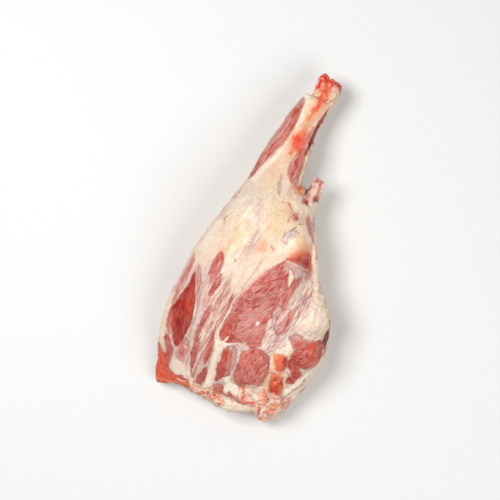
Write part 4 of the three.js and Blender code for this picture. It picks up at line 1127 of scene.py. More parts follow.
@dataclass
class Skin:
    """A mesh's surface while tissues are laid on it, with one row for each vertex.

    Attributes:
        places: Where each vertex is, in millimetres.
        plan: Where each vertex is seen from above, which strays on the steep flanks.
        normals: Which way each vertex faces.
        colour: Each vertex's colour in linear light.
        fibre: How much muscle fibre shows.
        sheen: How wet it is.
        turn: The fibres' turn in radians.
        stretch: How long the fibres look, from 0 for long to 1 for cut across.
        height: How far the vertex is to move along its normal.
    """

    places: Array
    plan: Array
    normals: Array
    colour: Array
    fibre: Array
    sheen: Array
    turn: Array
    stretch: Array
    height: Array

    @classmethod
    def of(cls, mesh: bpy.types.Mesh, tissue: Tissue) -> Skin:
        """Starts a surface that is one tissue all over.

        Args:
            mesh: The mesh, in metres.
            tissue: What it is made of.

        Returns:
            The surface.
        """
        count = len(mesh.vertices)
        places = np.zeros(count * 3)
        normals = np.zeros(count * 3)
        mesh.vertices.foreach_get("co", places)
        mesh.vertex_normals.foreach_get("vector", normals)
        places = places.reshape(-1, 3) / MM
        normals = normals.reshape(-1, 3)
        steep = 1 - ease(normals[:, 2], 0.1, 0.55)
        stray = [fractal_noise(places, 19, 41, 4, 0.6), fractal_noise(places, 16, 51, 4, 0.6)]
        pigment = tissue.value
        return cls(
            places=places,
            plan=places[:, :2] + np.stack(stray, axis=1) * FLANK_STRAY * steep[:, None],
            normals=normals,
            colour=np.tile(pigment.linear(), (count, 1)),
            fibre=np.full(count, pigment.fibre),
            sheen=np.full(count, pigment.sheen),
            turn=np.full(count, math.radians(FIRST_TURN)),
            stretch=np.full(count, LONG_FIBRE),
            height=np.zeros(count),
        )

    def blend(self, tissue: Tissue, cover: Array, where: Array | slice = slice(None)) -> None:
        """Covers the surface with a tissue.

        Args:
            tissue: What covers it.
            cover: How much of what is below is hidden at each vertex, from 0 to 1.
            where: Which vertices the cover is for.
        """
        pigment = tissue.value
        self.colour[where] += cover[:, None] * (pigment.linear() - self.colour[where])
        self.fibre[where] += cover * (pigment.fibre - self.fibre[where])
        self.sheen[where] += cover * (pigment.sheen - self.sheen[where])

    def border(self, layer: Layer, where: Array, seed: int) -> tuple[Array, Array | float, Array | float]:
        """Finds a layer's border among some vertices.

        Args:
            layer: The layer.
            where: The vertices' numbers.
            seed: Picks the border's wander.

        Returns:
            How far inside the border each vertex lies, how soft the border is there, and how whole the
            layer is.
        """
        here = self.places[where]
        streaks = along_fibres(here, layer)
        wander = fractal_noise(streaks, WANDER_SIZE, seed, 4, ROUGH) * layer.wander()
        depth = layer.shape.depth(self.plan[where]) + wander
        edge = layer.edge * (SOFTNESS if layer.edge <= 2 else 1)
        if layer.edge > 0.8:
            edge = edge + SOFT_SPOTS * ease(fractal_noise(here, 11, seed + SOFT_SEED, 2), 0.0, 0.5)
        cloud = fractal_noise(streaks, layer.patch, seed + PATCH_SEED, 4, ROUGH) if layer.patchy else 0
        return depth, edge, 1 - layer.patchy * ease(cloud, -0.3, 0.3)

    def lay(self, layer: Layer, facing: Array, seed: int) -> None:
        """Lays one layer, as seen from above.

        Args:
            layer: The layer.
            facing: How much each vertex belongs to the side that is painted, from 0 to 1.
            seed: Picks the border's wander.
        """
        reach = layer.edge + SOFT_SPOTS + layer.ragged * 2 + layer.bevel
        low, high = layer.shape.limits()
        near = np.all((self.plan > low - reach) & (self.plan < high + reach), axis=1) & (facing > 0)
        where = np.flatnonzero(near)
        if not len(where):
            return
        depth, edge, whole = self.border(layer, where, seed)
        cover = ease(depth, -edge, edge) * layer.cover * facing[where] * whole
        self.blend(layer.tissue, cover, where)
        if layer.grain is not None:
            inside = where[depth > 0]
            self.turn[inside] = math.radians(layer.grain)
            self.stretch[inside] = CUT_FIBRE if layer.cut else LONG_FIBRE
        if layer.rise:
            slope = ease(depth, -0.6, layer.bevel) * facing[where] * whole
            self.height[where] += layer.rise * slope * RELIEF
        # A steep layer's border sinks into a crease, and painted shade darkens the crease
        if abs(layer.rise) >= 0.5 and layer.edge <= 1.6:
            sunk = ease(-np.abs(depth + 0.3), -1.5, 0) * facing[where] * whole
            sunk = sunk * min(abs(layer.rise), 1) * layer.cover
            self.colour[where] += (sunk * CREASE_SHADE_SHARE)[:, None] * (CREASE_SHADE_COLOUR - self.colour[where])
            self.height[where] -= sunk * CREASE

    def write(self, mesh: bpy.types.Mesh, room: Array) -> None:
        """Moves the mesh's vertices by the heights, and gives it the tissues as attributes.

        Args:
            mesh: The mesh.
            room: The two corners of the box that it stays in, in millimetres.
        """
        moved = np.clip(self.places + self.normals * self.height[:, None], room[0], room[1])
        mesh.vertices.foreach_set("co", (moved * MM).ravel())
        sine, cosine = np.sin(self.turn), np.cos(self.turn)
        x, y, z = self.places.T
        curl = 1 + 3 * ease(self.stretch, LONG_FIBRE, CUT_FIBRE)
        x = x + fractal_noise(self.places, 13, 501) * FIBRE_WAVE * curl
        y = y + fractal_noise(self.places, 13, 511) * FIBRE_WAVE * curl
        along = (x * sine + y * cosine) * self.stretch
        across = x * cosine - y * sine
        grain = np.stack([across, along, z], axis=1)
        for name, kind, key, values in (
            ("tint", "FLOAT_COLOR", "color", np.hstack([self.colour, np.ones((len(x), 1))])),
            ("fibre", "FLOAT", "value", self.fibre),
            ("sheen", "FLOAT", "value", self.sheen),
            ("grain", "FLOAT_VECTOR", "vector", grain),
        ):
            attribute = mesh.attributes.new(name, kind, "POINT")
            attribute.data.foreach_set(key, values.ravel())
        mesh.update()


def along_fibres(places: Array, layer: Layer) -> Array:
    """Draws places together along a layer's fibres, so that noise on them runs in streaks.

    Args:
        places: The places in millimetres.
        layer: The layer whose fibres they follow.

    Returns:
        The new places.
    """
    turn = math.radians(PLAIN_TURN if layer.grain is None else layer.grain)
    x, y, z = places.T
    along = x * math.sin(turn) + y * math.cos(turn)
    across = x * math.cos(turn) - y * math.sin(turn)
    return np.stack([across, along * (1 if layer.cut else STREAK), z], axis=1)


# Materials


class Signal:
    """A node's output socket that sums can be written with."""

    def __init__(self, graph: Graph, socket: bpy.types.NodeSocket) -> None:
        """Wraps a socket of a graph's node."""
        self.graph = graph
        self.socket = socket

    def _maths(self, operation: str, *values: Signal | float) -> Signal:
        """Adds a Math node.

        Args:
            operation: What it works out.
            values: Its inputs.

        Returns:
            The result.
        """
        settings = {"operation": operation}
        node = self.graph.node("ShaderNodeMath", settings, dict(enumerate(values)))
        return Signal(self.graph, node.outputs[0])

    def __add__(self, other: Signal | float) -> Signal:
        """This plus another."""
        return self._maths("ADD", self, other)

    __radd__ = __add__

    def __mul__(self, other: Signal | float) -> Signal:
        """This times another."""
        return self._maths("MULTIPLY", self, other)

    __rmul__ = __mul__

    def __sub__(self, other: Signal | float) -> Signal:
        """This less another."""
        return self._maths("SUBTRACT", self, other)

    def __rsub__(self, other: Signal | float) -> Signal:
        """Another less this."""
        return self._maths("SUBTRACT", other, self)

    def __abs__(self) -> Signal:
        """This without its sign."""
        return self._maths("ABSOLUTE", self)

    def step(self, low: float, high: float) -> Signal:
        """Adds a smooth step.

        Args:
            low: The value that gives 0.
            high: The value that gives 1, which may be the lower one.

        Returns:
            A value from 0 to 1.
        """
        settings = {"interpolation_type": "SMOOTHSTEP"}
        sockets = {"Value": self, "From Min": low, "From Max": high}
        return Signal(self.graph, self.graph.node("ShaderNodeMapRange", settings, sockets).outputs[0])

    def ridge(self, sharpness: float) -> Signal:
        """A noise's middle value as a ridge that is 1 high."""
        return 1 - abs(self - 0.5) * sharpness


class Graph:
    """One material's nodes."""

    def __init__(self, name: str) -> None:
        """Starts a material with no nodes.

        Args:
            name: The material's name.
        """
        self.material = bpy.data.materials.new(name)
        self.material.use_nodes = True
        self.tree = self.material.node_tree
        self.tree.nodes.clear()

    def node(
        self, kind: str, settings: dict[str, Any] | None = None, sockets: dict[Any, Any] | None = None
    ) -> bpy.types.Node:
        """Adds a node.

        Args:
            kind: The node's type.
            settings: Its own settings, which are set first.
            sockets: What goes into its sockets, by name or number: a value, a socket or a signal.

        Returns:
            The node.
        """
        node = self.tree.nodes.new(kind)
        for name, value in (settings or {}).items():
            setattr(node, name, value)
        for key, value in (sockets or {}).items():
            if isinstance(value, Signal):
                value = value.socket
            if isinstance(value, bpy.types.NodeSocket):
                self.tree.links.new(value, node.inputs[key])
            else:
                node.inputs[key].default_value = value
        return node

    def attribute(self, name: str) -> bpy.types.Node:
        """Reads one of the mesh's attributes."""
        return self.node("ShaderNodeAttribute", {"attribute_name": name})

    def noise(self, vector: bpy.types.NodeSocket, size: float, detail: float, rough: float = 0.5) -> Signal:
        """Noise about 0.5, with the size of its largest grains and the detail and strength of finer ones."""
        sockets = {"Vector": vector, "Scale": 1 / size, "Detail": detail, "Roughness": rough}
        return Signal(self, self.node("ShaderNodeTexNoise", None, sockets).outputs[0])

    def mix(self, share: Signal, below: Any, above: Any, blend: str = "MIX") -> bpy.types.NodeSocket:
        """Lays a share of one colour over another, each a value or a socket."""
        settings = {"data_type": "RGBA", "blend_type": blend, "clamp_factor": True}
        return self.node("ShaderNodeMix", settings, {0: share, 6: below, 7: above}).outputs[2]

    def bump(self, height: Signal, distance: float, normal: Any = None) -> bpy.types.NodeSocket:
        """Turns a height into a normal.

        Args:
            height: The height as a share of the distance.
            distance: How far a height of 1 stands up, in metres.
            normal: A normal that it is added to.

        Returns:
            The new normal's socket.
        """
        sockets = {"Height": height, "Distance": distance, "Strength": 1.0}
        if normal is not None:
            sockets["Normal"] = normal
        return self.node("ShaderNodeBump", None, sockets).outputs[0]

    def close(self, sockets: dict[str, Any]) -> bpy.types.Material:
        """Ends the graph with a Principled shader.

        Args:
            sockets: What goes into the shader.

        Returns:
            The finished material.
        """
        shader = self.node("ShaderNodeBsdfPrincipled", None, sockets)
        self.node("ShaderNodeOutputMaterial", None, {"Surface": shader.outputs[0]})
        return self.material


@dataclass(frozen=True)
class Patterns:
    """The patterns that the flesh's finish is made of.

    Attributes:
        spot: Where the surface is.
        fibre: How much muscle fibre shows.
        film: How much silver skin shows.
        bundles: Broad bundles of fibres.
        threads: Thin threads between them.
        strands: The strands of silver skin, whose white also serves as painted glints.
        clouds: Soft clouds.
        grains: The fat's grains.
    """

    spot: bpy.types.NodeSocket
    fibre: Signal
    film: Signal
    bundles: Signal
    threads: Signal
    strands: Signal
    clouds: Signal
    grains: Signal


@dataclass(frozen=True)
class FleshFinish:
    """Moist muscle, fat and silver skin, told apart by the mesh's own attributes.

    Attributes:
        name: The material's name.
        fibre_size: How broad a bundle of fibres is, in millimetres.
        fibre_bump: How high the fibres stand, in metres.
        speck_size: The size of the small dark and pale specks in it, in millimetres; the pale ones are
            painted wet glints.
        lobule_size: The size of the fat's grains, in millimetres.
        lobule_bump: How high they stand, in metres.
        marbling: How much fat runs through the muscle, from 0 to 1.
        subsurface: How much light passes under the surface.
        depth: How far it travels there, in metres.
    """

    name: str
    fibre_size: float = 1.7
    fibre_bump: float = 0.0016
    speck_size: float = 1.9
    lobule_size: float = 3.2
    lobule_bump: float = 0.0006
    marbling: float = 0.5
    subsurface: float = 0.1
    depth: float = 0.0015

    def material(self) -> bpy.types.Material:
        """Builds the material.

        Returns:
            The material.
        """
        graph = Graph(self.name)
        tint = graph.attribute("tint").outputs["Color"]
        sheen = Signal(graph, graph.attribute("sheen").outputs["Fac"])
        seen = self.patterns(graph, sheen)
        plain = seen.fibre.step(0.3, 0.08) * (1 - seen.film)
        flesh = self.muscle(graph, seen, tint)
        flesh = self.silver_skin(graph, seen, flesh)
        flesh = self.fat(graph, seen, plain, flesh)
        wet = graph.noise(seen.spot, 16 * MM, 3, 0.5).step(0.35, 0.68)
        streaks = seen.fibre * 0.8 + seen.film * 0.8 + 0.2
        normal = graph.bump((seen.bundles + seen.threads) * streaks, self.fibre_bump)
        return graph.close(
            {
                "Base Color": flesh,
                "Roughness": 0.52 - sheen * 0.16 - wet * 0.1 + seen.grains * 0.08,
                "Normal": graph.bump(seen.grains * plain, self.lobule_bump, normal),
                "Coat Weight": sheen * 0.7 + wet * 0.15,
                "Coat Roughness": 0.17,
                "Coat IOR": 1.36,
                "Subsurface Weight": self.subsurface,
                "Subsurface Radius": (1.0, 0.4, 0.25),
                "Subsurface Scale": self.depth,
                "IOR": 1.4,
                "Specular IOR Level": 0.2,
            }
        )

    def patterns(self, graph: Graph, sheen: Signal) -> Patterns:
        """Lays noise along the fibres and over the surface.

        Args:
            graph: The material's nodes.
            sheen: How wet the surface is.

        Returns:
            The patterns.
        """
        grain = graph.attribute("grain").outputs["Vector"]
        spot = graph.node("ShaderNodeTexCoord").outputs["Object"]
        return Patterns(
            spot=spot,
            fibre=Signal(graph, graph.attribute("fibre").outputs["Fac"]),
            film=sheen.step(0.58, 0.74),
            bundles=graph.noise(grain, self.fibre_size * 2.2, 5, 0.7),
            threads=graph.noise(grain, self.fibre_size * 1.1, 4, 0.65),
            strands=graph.noise(grain, self.fibre_size * 1.7, 4, 0.6),
            clouds=graph.noise(spot, 11 * MM, 4, 0.55),
            grains=graph.noise(spot, self.lobule_size * MM, 5, 0.65),
        )

    def muscle(self, graph: Graph, seen: Patterns, flesh: bpy.types.NodeSocket) -> bpy.types.NodeSocket:
        """Adds darker and lighter bundles, partly their own tone and partly painted shade in the hollows and
        painted light on the ridges of the fibres' bump, thin pale threads of fat between them, dark specks,
        and pale specks that are painted wet glints.

        Args:
            graph: The material's nodes.
            seen: The patterns.
            flesh: The colour so far.

        Returns:
            The new colour.
        """
        fibre = seen.fibre
        flesh = graph.mix(seen.bundles.step(0.51, 0.39) * 0.95 * fibre, flesh, MUSCLE_SHADE, "MULTIPLY")
        pale = seen.threads.ridge(10).step(0.1, 1.0) * seen.clouds.step(0.38, 0.56)
        flesh = graph.mix(pale * self.marbling * fibre, flesh, MARBLING_AND_GLINT)
        flesh = graph.mix(seen.bundles.step(0.5, 0.66) * 0.55 * fibre, flesh, MUSCLE_LIGHT)
        specks = graph.noise(seen.spot, self.speck_size * MM, 3, 0.7)
        dark = specks.step(0.46, 0.32) * (fibre.step(0.1, 0.4) * 0.5 + 0.1)
        flesh = graph.mix(dark, flesh, MUSCLE_SHADE, "MULTIPLY")
        return graph.mix(specks.step(0.56, 0.7) * 0.5 * (fibre * fibre * 0.8 + 0.08), flesh, MARBLING_AND_GLINT)

    def silver_skin(self, graph: Graph, seen: Patterns, flesh: bpy.types.NodeSocket) -> bpy.types.NodeSocket:
        """Adds white strands, partly silver skin and partly painted glints, with pink gaps between them."""
        flesh = graph.mix(seen.threads.step(0.5, 0.36) * 0.5 * seen.film, flesh, GAP_PINK, "MULTIPLY")
        return graph.mix(seen.strands.ridge(12).step(0.1, 1.0) * 0.4 * seen.film, flesh, STRAND_AND_GLINT)

    def fat(
        self, graph: Graph, seen: Patterns, plain: Signal, flesh: bpy.types.NodeSocket
    ) -> bpy.types.NodeSocket:
        """Adds soft clouds, fine grains with painted shade in their hollows and painted light on their tops,
        painted shade in the faint grooves of the threads, and a few faint pink veins.

        Args:
            graph: The material's nodes.
            seen: The patterns.
            plain: How much fat shows.
            flesh: The colour so far.

        Returns:
            The new colour.
        """
        flesh = graph.mix(seen.clouds.step(0.6, 0.36) * 0.35 * plain, flesh, FAT_SHADE, "MULTIPLY")
        flesh = graph.mix(seen.grains.step(0.5, 0.38) * 0.22 * plain, flesh, FAT_HOLLOW_SHADE, "MULTIPLY")
        flesh = graph.mix(seen.grains.step(0.5, 0.64) * 0.22 * plain, flesh, FAT_LIGHT)
        flesh = graph.mix(seen.threads.step(0.5, 0.36) * 0.45 * plain, flesh, FAT_HOLLOW_SHADE, "MULTIPLY")
        path = graph.noise(seen.spot, 9 * MM, 3, 0.6)
        veins = path.ridge(40).step(0.2, 1.0) * seen.clouds.step(0.5, 0.62)
        return graph.mix(veins * 0.35 * plain, flesh, VEIN, "MULTIPLY")


# The pieces


def solid_copy(node: str, name: str, voxel: float, smoothing: int) -> bpy.types.Object:
    """Copies a CAD node as one fine even skin.

    Args:
        node: The node's name.
        name: The copy's name.
        voxel: The new mesh's spacing in millimetres.
        smoothing: How often it is smoothed.

    Returns:
        The copy, with its place in its mesh.
    """
    source = bpy.data.objects[node]
    mesh = source.data.copy()
    mesh.materials.clear()
    piece = bpy.data.objects.new(name, mesh)
    bpy.context.scene.collection.objects.link(piece)
    build = bmesh.new()
    build.from_mesh(mesh)
    bmesh.ops.remove_doubles(build, verts=build.verts, dist=1e-6)
    build.to_mesh(mesh)
    build.free()
    remesh = piece.modifiers.new("Even skin", "REMESH")
    remesh.mode = "VOXEL"
    remesh.voxel_size = voxel * MM
    shown = piece.evaluated_get(bpy.context.evaluated_depsgraph_get())
    piece.data = bpy.data.meshes.new_from_object(shown)
    piece.modifiers.clear()
    build = bmesh.new()
    build.from_mesh(piece.data)
    for _ in range(smoothing):
        bmesh.ops.smooth_vert(build, verts=build.verts, factor=0.5, use_axis_x=True, use_axis_y=True,
                              use_axis_z=True)
    build.to_mesh(piece.data)
    build.free()
    piece.data.name = name
    piece.data.shade_smooth()
    return piece


def refine(mesh: bpy.types.Mesh, least_lift: float) -> None:
    """Splits each face that looks upwards into four.

    Args:
        mesh: The mesh.
        least_lift: The least upward part of a face's normal that counts.
    """
    build = bmesh.new()
    build.from_mesh(mesh)
    build.normal_update()
    upper = {edge for face in build.faces if face.normal.z > least_lift for edge in face.edges}
    bmesh.ops.subdivide_edges(build, edges=list(upper), cuts=1, use_grid_fill=True, smooth=0.6)
    build.to_mesh(mesh)
    build.free()
    mesh.shade_smooth()


@dataclass
class Flesh:
    """The leg's muscle, fat and tendon, which is one body round its two bones.

    Attributes:
        room: The two corners of the box that it stays in, in millimetres.
        node: The CAD node that it stands for.
        voxel: How far apart its vertices are before the upper side is split, in millimetres.
        smoothing: How often the skin is smoothed.
        layers: The tissues on the inner side, from the lowest up.
        bones: The CAD nodes of the bones that it closes on, each with how far its lip stands up.
        finish: Its material.
        least_lift: The least upward part of the normals of the faces that are split.
        first_seed: The lowest layer's seed.
    """

    room: Array
    node: str = "leg_meat"
    voxel: float = 2.22
    smoothing: int = 4
    layers: tuple[Layer, ...] = INNER_LAYERS
    bones: tuple[tuple[str, float], ...] = (("shin_bone", 0.4), ("hip_bone", 0.9))
    finish: FleshFinish = field(default_factory=lambda: FleshFinish("moist_flesh"))
    least_lift: float = 0.06
    first_seed: int = 100

    def build(self) -> bpy.types.Object:
        """Makes the piece.

        Returns:
            The finished piece.
        """
        piece = solid_copy(self.node, "flesh", self.voxel, self.smoothing)
        refine(piece.data, self.least_lift)
        skin = Skin.of(piece.data, FAT)
        x, y, _ = skin.places.T
        thigh = np.exp(-(((x - THIGH_MIDDLE) / THIGH_SPREAD) ** 2))
        skin.turn[:] = np.radians(SHANK_TURN + THIGH_TURN * thigh * ease(-y, -40, 40))
        self.dress_outer_side(skin)
        self.dress_inner_side(skin)
        self.dress_cut_end(skin)
        skin.height += fractal_noise(skin.places, 6, 400) * 0.35
        self.close_on_bones(skin)
        skin.write(piece.data, self.room)
        piece.data.materials.append(self.finish.material())
        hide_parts(self.node)
        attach(piece, "root")
        return piece

    def close_on_bones(self, skin: Skin) -> None:
        """Keeps the flesh that touches a bone smooth, and presses it against the bone.

        Args:
            skin: The flesh's surface.
        """
        for node, lips in self.bones:
            bone = bpy.data.objects[node].data
            tree = BVHTree.FromPolygons([v.co for v in bone.vertices], [f.vertices for f in bone.polygons])
            spots = np.array([v.co for v in bone.vertices]) / MM
            low, high = spots.min(axis=0) - BONE_ROOM, spots.max(axis=0) + BONE_ROOM
            for index in np.flatnonzero(np.all((skin.places > low) & (skin.places < high), axis=1)):
                gap = tree.find_nearest(Vector(skin.places[index] * MM))[3] / MM
                if gap < BONE_TOUCH:
                    skin.height[index] = lips if skin.normals[index, 2] > -0.2 else LOW_LIP
                elif gap < BONE_NEAR:
                    skin.height[index] = max(min(skin.height[index], gap - 1), LEAST_LIP)

    def dress_outer_side(self, skin: Skin) -> None:
        """Covers the side that the leg lies on with fat and thin skin over muscle.

        Args:
            skin: The flesh's surface.
        """
        down = ease(-skin.normals[:, 2], -0.35, 0.1)
        x, y, z = skin.places.T
        swing = fractal_noise(skin.places, 40, 21) * OUTER_SWING
        bend = fractal_noise(skin.places[:, ::-1], 26, 22) * OUTER_SWING
        slant = np.stack([x + z * 0.8 + swing, y * 0.7 + x * 0.6 + bend, z - x * 0.7 + swing - bend], axis=1)
        drawn = slant * (1, 0.45, 1)
        cloud = fractal_noise(slant, 30, 11, 4, 0.6)
        fine = fractal_noise(drawn, 9, 12, 4, 0.6)
        streak = np.abs(fractal_noise(drawn, 14, 13, 4))
        for tissue, pattern, low, high, cover in (
            (MEMBRANE, cloud + fine * 0.4, 0.0, 0.4, 0.8),
            (PALE_LEAN, cloud + fine * 0.5, 0.22, 0.5, 0.85),
            (RED_LEAN, cloud + fine * 0.6, 0.5, 0.75, 0.7),
            (PEACH_FAT, -cloud + fine * 0.3, 0.2, 0.6, 0.5),
            (YELLOW_FAT, -cloud - fine * 0.5, 0.1, 0.5, 0.5),
            (WHITE_FAT, fine, 0.25, 0.6, 0.6),
            (WHITE_FAT, -streak, -0.06, -0.02, 0.7),
        ):
            skin.blend(tissue, down * ease(pattern, low, high) * cover)
        skin.height += down * fine * 0.5

    def dress_inner_side(self, skin: Skin) -> None:
        """Lays the layers on the side that faces up.

        Args:
            skin: The flesh's surface.
        """
        facing = ease(skin.normals[:, 2], -0.3, 0.0)
        for number, layer in enumerate(self.layers):
            skin.lay(layer, facing, self.first_seed + number * NEXT_SEED)

    def dress_cut_end(self, skin: Skin) -> None:
        """Shows cut muscle, seams of fat and the outer fat cover on the sawn hip end.

        Args:
            skin: The flesh's surface.
        """
        x, y, z = skin.places.T
        low_side = 1 - ease(skin.normals[:, 2], -0.1, 0.15)
        cut = ease(-skin.normals[:, 1], 0.55, 0.8) * ease(-y, 172, 180) * low_side
        face = np.stack([x, z * 1.6], axis=1)
        seams = ease(-np.abs(fractal_noise(face, 22, 31, 2)), -0.09, -0.04)
        skin.blend(LEAN, cut)
        skin.blend(DEEP_LEAN, cut * ease(fractal_noise(face, 16, 33), 0.0, 0.4) * 0.6)
        skin.blend(WHITE_FAT, cut * seams)
        skin.blend(FAT, cut * ease(-z, -9, -5))
        skin.stretch[cut > 0.5] = CUT_FIBRE
        skin.height -= cut * 0.5 * (1 - seams)
        torn = ease(-y, 150, 176) * (1 - ease(skin.normals[:, 2], 0.75, 0.95))
        skin.height += fractal_noise(skin.places, 5, 61) * torn * 1.1


@dataclass
class Bone:
    """One bone.

    Attributes:
        node: The CAD node that it stands for.
        name: The piece's name.
        slot: Not used.
        tissue: What it is where nothing lies on it.
        layers: What lies on it, seen from above.
        pores: How deep the pits of its end are, in millimetres.
        room: The two corners of the box that it stays in, in millimetres.
        voxel: How far apart its vertices are, in millimetres.
        smoothing: How often its skin is smoothed.
        first_seed: The lowest layer's seed.
    """

    node: str
    name: str
    slot: str
    tissue: Tissue
    layers: tuple[Layer, ...]
    pores: float
    room: Array
    voxel: float = 0.8
    smoothing: int = 3
    first_seed: int = 900

    def build(self) -> bpy.types.Object:
        """Makes the piece.

        Returns:
            The finished piece.
        """
        piece = solid_copy(self.node, self.name, self.voxel, self.smoothing)
        skin = Skin.of(piece.data, self.tissue)
        facing = ease(skin.normals[:, 2], -0.4, -0.1)
        for number, layer in enumerate(self.layers):
            skin.lay(layer, facing, self.first_seed + number * NEXT_SEED)
        pits = ease(fractal_noise(skin.places, 1.8, 77), 0.15, 0.6)
        skin.height += 0.3 - pits * self.pores + fractal_noise(skin.places, 5, 78) * self.pores
        skin.blend(MARROW, pits * 0.6)
        skin.write(piece.data, self.room)
        finish = FleshFinish(f"moist_{self.name}", lobule_size=1.6, lobule_bump=0.0005, marbling=0.2)
        piece.data.materials.append(finish.material())
        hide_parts(self.node)
        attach(piece, "root")
        return piece


KNUCKLE = Area(((-2, 174), (-2, 202), (12, 204), (32, 198), (30, 180), (18, 180), (17, 168), (8, 164),
                (4, 176)))
KNUCKLE_LAYERS = (
    oval(PEACH_FAT, 0.6, 10, 180, 16, 24, 0, edge=3, patchy=0.3),
    area(CORAL, 0.95, (1, 176), (1, 192), (3, 201), (11, 202), (13, 196), (19, 199), (21, 192), (27, 196),
        (31, 190), (27, 186), (21, 187), (18, 182), (17, 170), (8, 166), (8, 178), (5, 180), edge=1.4),
    Layer(FLAME_LEAN, KNUCKLE, 0.9, edge=1, patchy=0.8, patch=7, rise=-0.6, cut=True),
    Layer(BLUSH, KNUCKLE, 0.8, edge=1, patchy=1, patch=4.5, rise=0.9, cut=True),
    Layer(BLOOD, KNUCKLE, 0.9, edge=1, patchy=1, patch=3.6, rise=-0.8, cut=True),
    area(BLOOD, 0.7, (1, 190), (3, 201), (11, 202), (14, 197), (19, 200), (27, 197), (31, 190), (24, 188),
        (14, 190), edge=2, patchy=0.6, rise=-0.4, cut=True),
    stroke(CORAL, 0.8, (8, 165, 3), (12, 174, 4), (12, 184, 3), edge=2, ragged=1.4),
    oval(PEACH_FAT, 0.6, 8, 184, 2, 4.5, 5, edge=1.6, rise=0.5),
    stroke(PEACH_FAT, 0.9, (4, 199, 0.8), (7.5, 200, 1.2), (9.5, 198.5, 0.8), edge=1),
    oval(PEACH_FAT, 0.8, 16.5, 196, 2.4, 0.9, -10),
    oval(PEACH_FAT, 0.6, 14.3, 187, 1.5, 2.2, 0, edge=1.2, rise=0.3),
    stroke(BLOOD, 1, (2.5, 176, 0.7), (3.4, 182, 1.6), (4.4, 187, 1.6), (3, 190, 0.7)),
    stroke(BLOOD, 0.85, (7.4, 197, 1), (8.5, 194, 1.3), (11, 191, 1.6), (13, 189, 1), edge=1, rise=-0.6),
    stroke(BLOOD, 0.6, (11.5, 186, 0.8), (15, 183, 1.6), (17, 187, 0.8), (18.8, 192, 1), edge=1.2,
        rise=-0.4),
    oval(BLOOD, 0.55, 13.5, 178.5, 2.2, 3, 10, edge=1.6),
    stroke(BLOOD, 0.75, (25, 193, 1.4), (28.5, 190.5, 1.6), edge=1.2),
    oval(DEEP_LEAN, 0.85, 24, 188.5, 1.1, 1.9, 10, edge=0.8, rise=-0.8, bevel=1),
    stroke(GRISTLE, 0.95, (-0.5, 172, 1.2), (0.2, 184, 1.4), (1, 192, 1), rise=0.3),
    oval(PINK_MEMBRANE, 0.7, 21, 189, 1.3, 1.6, 0),
    area(BONE, 0.95, (17, 184), (21, 186), (26, 187.5), (29, 182), (30, 170), (20, 168), (18, 176),
        edge=1.6),
    area(GREY_CREAM, 0.8, (18, 184), (21, 186), (26, 187), (29, 182), (30, 170), (24, 170), edge=2, patchy=0.7,
        patch=4, rise=0.4),
    stroke(BROWN, 0.6, (24, 172, 0.5), (26, 177, 0.7), (25, 182, 0.4), ragged=1.2, rise=-0.6),
    oval(CORAL, 0.5, 22.5, 183, 1.2, 2, 0, edge=1.2),
    oval(YELLOW_FAT, 0.8, 4.5, 174, 3, 4.5, 0, edge=1.6),
)


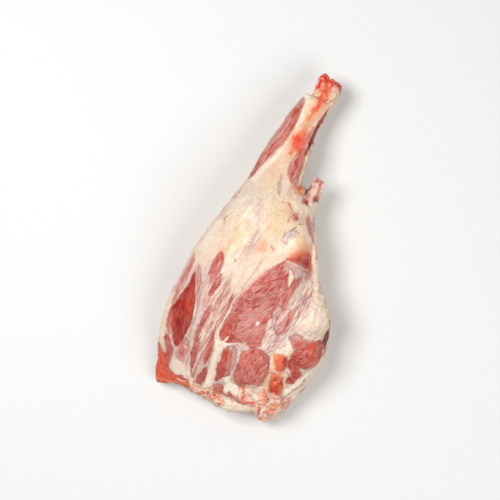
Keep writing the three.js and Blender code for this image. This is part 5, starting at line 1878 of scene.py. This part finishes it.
@dataclass
class Studio:
    """The pale floor, the soft lights and the camera.

    Attributes:
        camera_over: The point of the leg that the camera is over, in millimetres.
        camera_height: How far the camera is above the floor, in metres.
        view_turn: How the picture is turned about the leg, in degrees.
        view_width: How much of the leg's own frame the picture spans at view_level, in metres.
        view_level: The height where view_width is measured, in metres.
        floor_size: The length of the floor's sides, in metres.
        floor_drop: How far the floor lies below the leg, in metres.
        floor_colour: The floor's colour in linear light.
        key_place: Where the key light hangs: right and up in the picture, and above the floor, in metres.
        key_size: The length of its sides in metres.
        key_power: Its power in watts.
        fill_place: Where the fill light hangs.
        fill_size: The length of its sides in metres.
        fill_power: Its power in watts.
        aim: The point that both lights face, in metres.
        sky: How strong the room's own light is.
    """

    camera_over: Point = (-20.1, -15.5)
    camera_height: float = 1.9
    view_turn: float = 16.0
    view_width: float = 0.565
    view_level: float = 0.035
    floor_size: float = 6.0
    floor_drop: float = 0.0004
    floor_colour: tuple[float, float, float, float] = (0.8, 0.8, 0.79, 1)
    key_place: tuple[float, float, float] = (-0.65, 0.3, 1.45)
    key_size: float = 0.65
    key_power: float = 18.2
    fill_place: tuple[float, float, float] = (0.9, -0.7, 1.4)
    fill_size: float = 1.2
    fill_power: float = 14.0
    aim: tuple[float, float, float] = (0, 0, 0.05)
    sky: float = 0.3

    def build(self) -> None:
        """Sets up the floor, the light and the camera."""
        self.add_floor()
        self.add_sky()
        self.add_light("key_light", self.key_place, self.key_size, self.key_power)
        self.add_light("fill_light", self.fill_place, self.fill_size, self.fill_power)
        self.add_camera()
        bpy.context.scene.view_settings.view_transform = "Standard"

    def picture_vector(self, right: float, up: float) -> Vector:
        """Turns a step in the picture into a step on the floor.

        Args:
            right: How far the step goes to the right in the picture.
            up: How far it goes up.

        Returns:
            The step on the floor.
        """
        turn = math.radians(self.view_turn)
        sine, cosine = math.sin(turn), math.cos(turn)
        return Vector((right * cosine - up * sine, right * sine + up * cosine, 0))

    def add_floor(self) -> None:
        """Makes the floor."""
        build = bmesh.new()
        bmesh.ops.create_grid(build, x_segments=2, y_segments=2, size=self.floor_size / 2)
        bmesh.ops.translate(build, verts=build.verts, vec=(0, 0, -self.floor_drop))
        mesh = bpy.data.meshes.new("floor")
        build.to_mesh(mesh)
        build.free()
        floor = bpy.data.objects.new("floor", mesh)
        bpy.context.scene.collection.objects.link(floor)
        graph = Graph("pale_floor")
        mesh.materials.append(graph.close({"Base Color": self.floor_colour, "Roughness": 0.8}))
        floor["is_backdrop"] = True

    def add_sky(self) -> None:
        """Lights the room evenly."""
        world = bpy.data.worlds.new("studio_room")
        world.use_nodes = True
        background = world.node_tree.nodes["Background"]
        background.inputs["Color"].default_value = (1.0, 1.0, 1.0, 1)
        background.inputs["Strength"].default_value = self.sky
        bpy.context.scene.world = world

    def add_light(self, name: str, place: tuple[float, float, float], size: float, power: float) -> None:
        """Adds a soft square light that faces the leg.

        Args:
            name: Its name.
            place: Where it hangs: right and up in the picture, and above the floor, in metres.
            size: The length of its sides in metres.
            power: Its power in watts.
        """
        data = bpy.data.lights.new(name, "AREA")
        data.size = size
        data.energy = power
        light = bpy.data.objects.new(name, data)
        light.location = self.picture_vector(place[0], place[1]) + Vector((0, 0, place[2]))
        light.rotation_euler = (Vector(self.aim) - light.location).to_track_quat("-Z", "Y").to_euler()
        bpy.context.scene.collection.objects.link(light)

    def add_camera(self) -> None:
        """Hangs the camera straight above the leg."""
        data = bpy.data.cameras.new("camera")
        data.sensor_width = 36
        data.lens = data.sensor_width * (self.camera_height - self.view_level) / self.view_width
        camera = bpy.data.objects.new("camera", data)
        camera.location = (self.camera_over[0] * MM, self.camera_over[1] * MM, self.camera_height)
        camera.rotation_euler = (0, 0, math.radians(self.view_turn))
        bpy.context.scene.collection.objects.link(camera)
        bpy.context.scene.camera = camera


def corners(box: tuple[Vector, Vector]) -> list[list[float]]:
    """A box's two corners as plain numbers."""
    return [[float(value) for value in corner] for corner in box]


def main(frame: dict[str, Any], room: Array) -> None:
    """Builds the leg and its studio.

    Args:
        frame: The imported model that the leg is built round.
        room: The two corners of the box that the leg stays in, in millimetres.
    """
    logging.basicConfig(level=logging.INFO)
    LOG.info("CAD nodes: %s", sorted(frame["nodes"]))
    Studio().build()
    pieces = [
        Flesh(room).build(),
        Bone("shin_bone", "shin", "bone", BONE, KNUCKLE_LAYERS, 0.5, room).build(),
        Bone("hip_bone", "sawn_hip", "sawn_bone", MARROW, CUT_LAYERS, 0.5, room).build(),
    ]
    for piece in pieces:
        LOG.info("%s: %d vertices, %d faces", piece.name, len(piece.data.vertices), len(piece.data.polygons))


if __name__ == "__main__":
    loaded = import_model()
    cad_box = corners(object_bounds())
    main(loaded, np.array(cad_box) / MM)
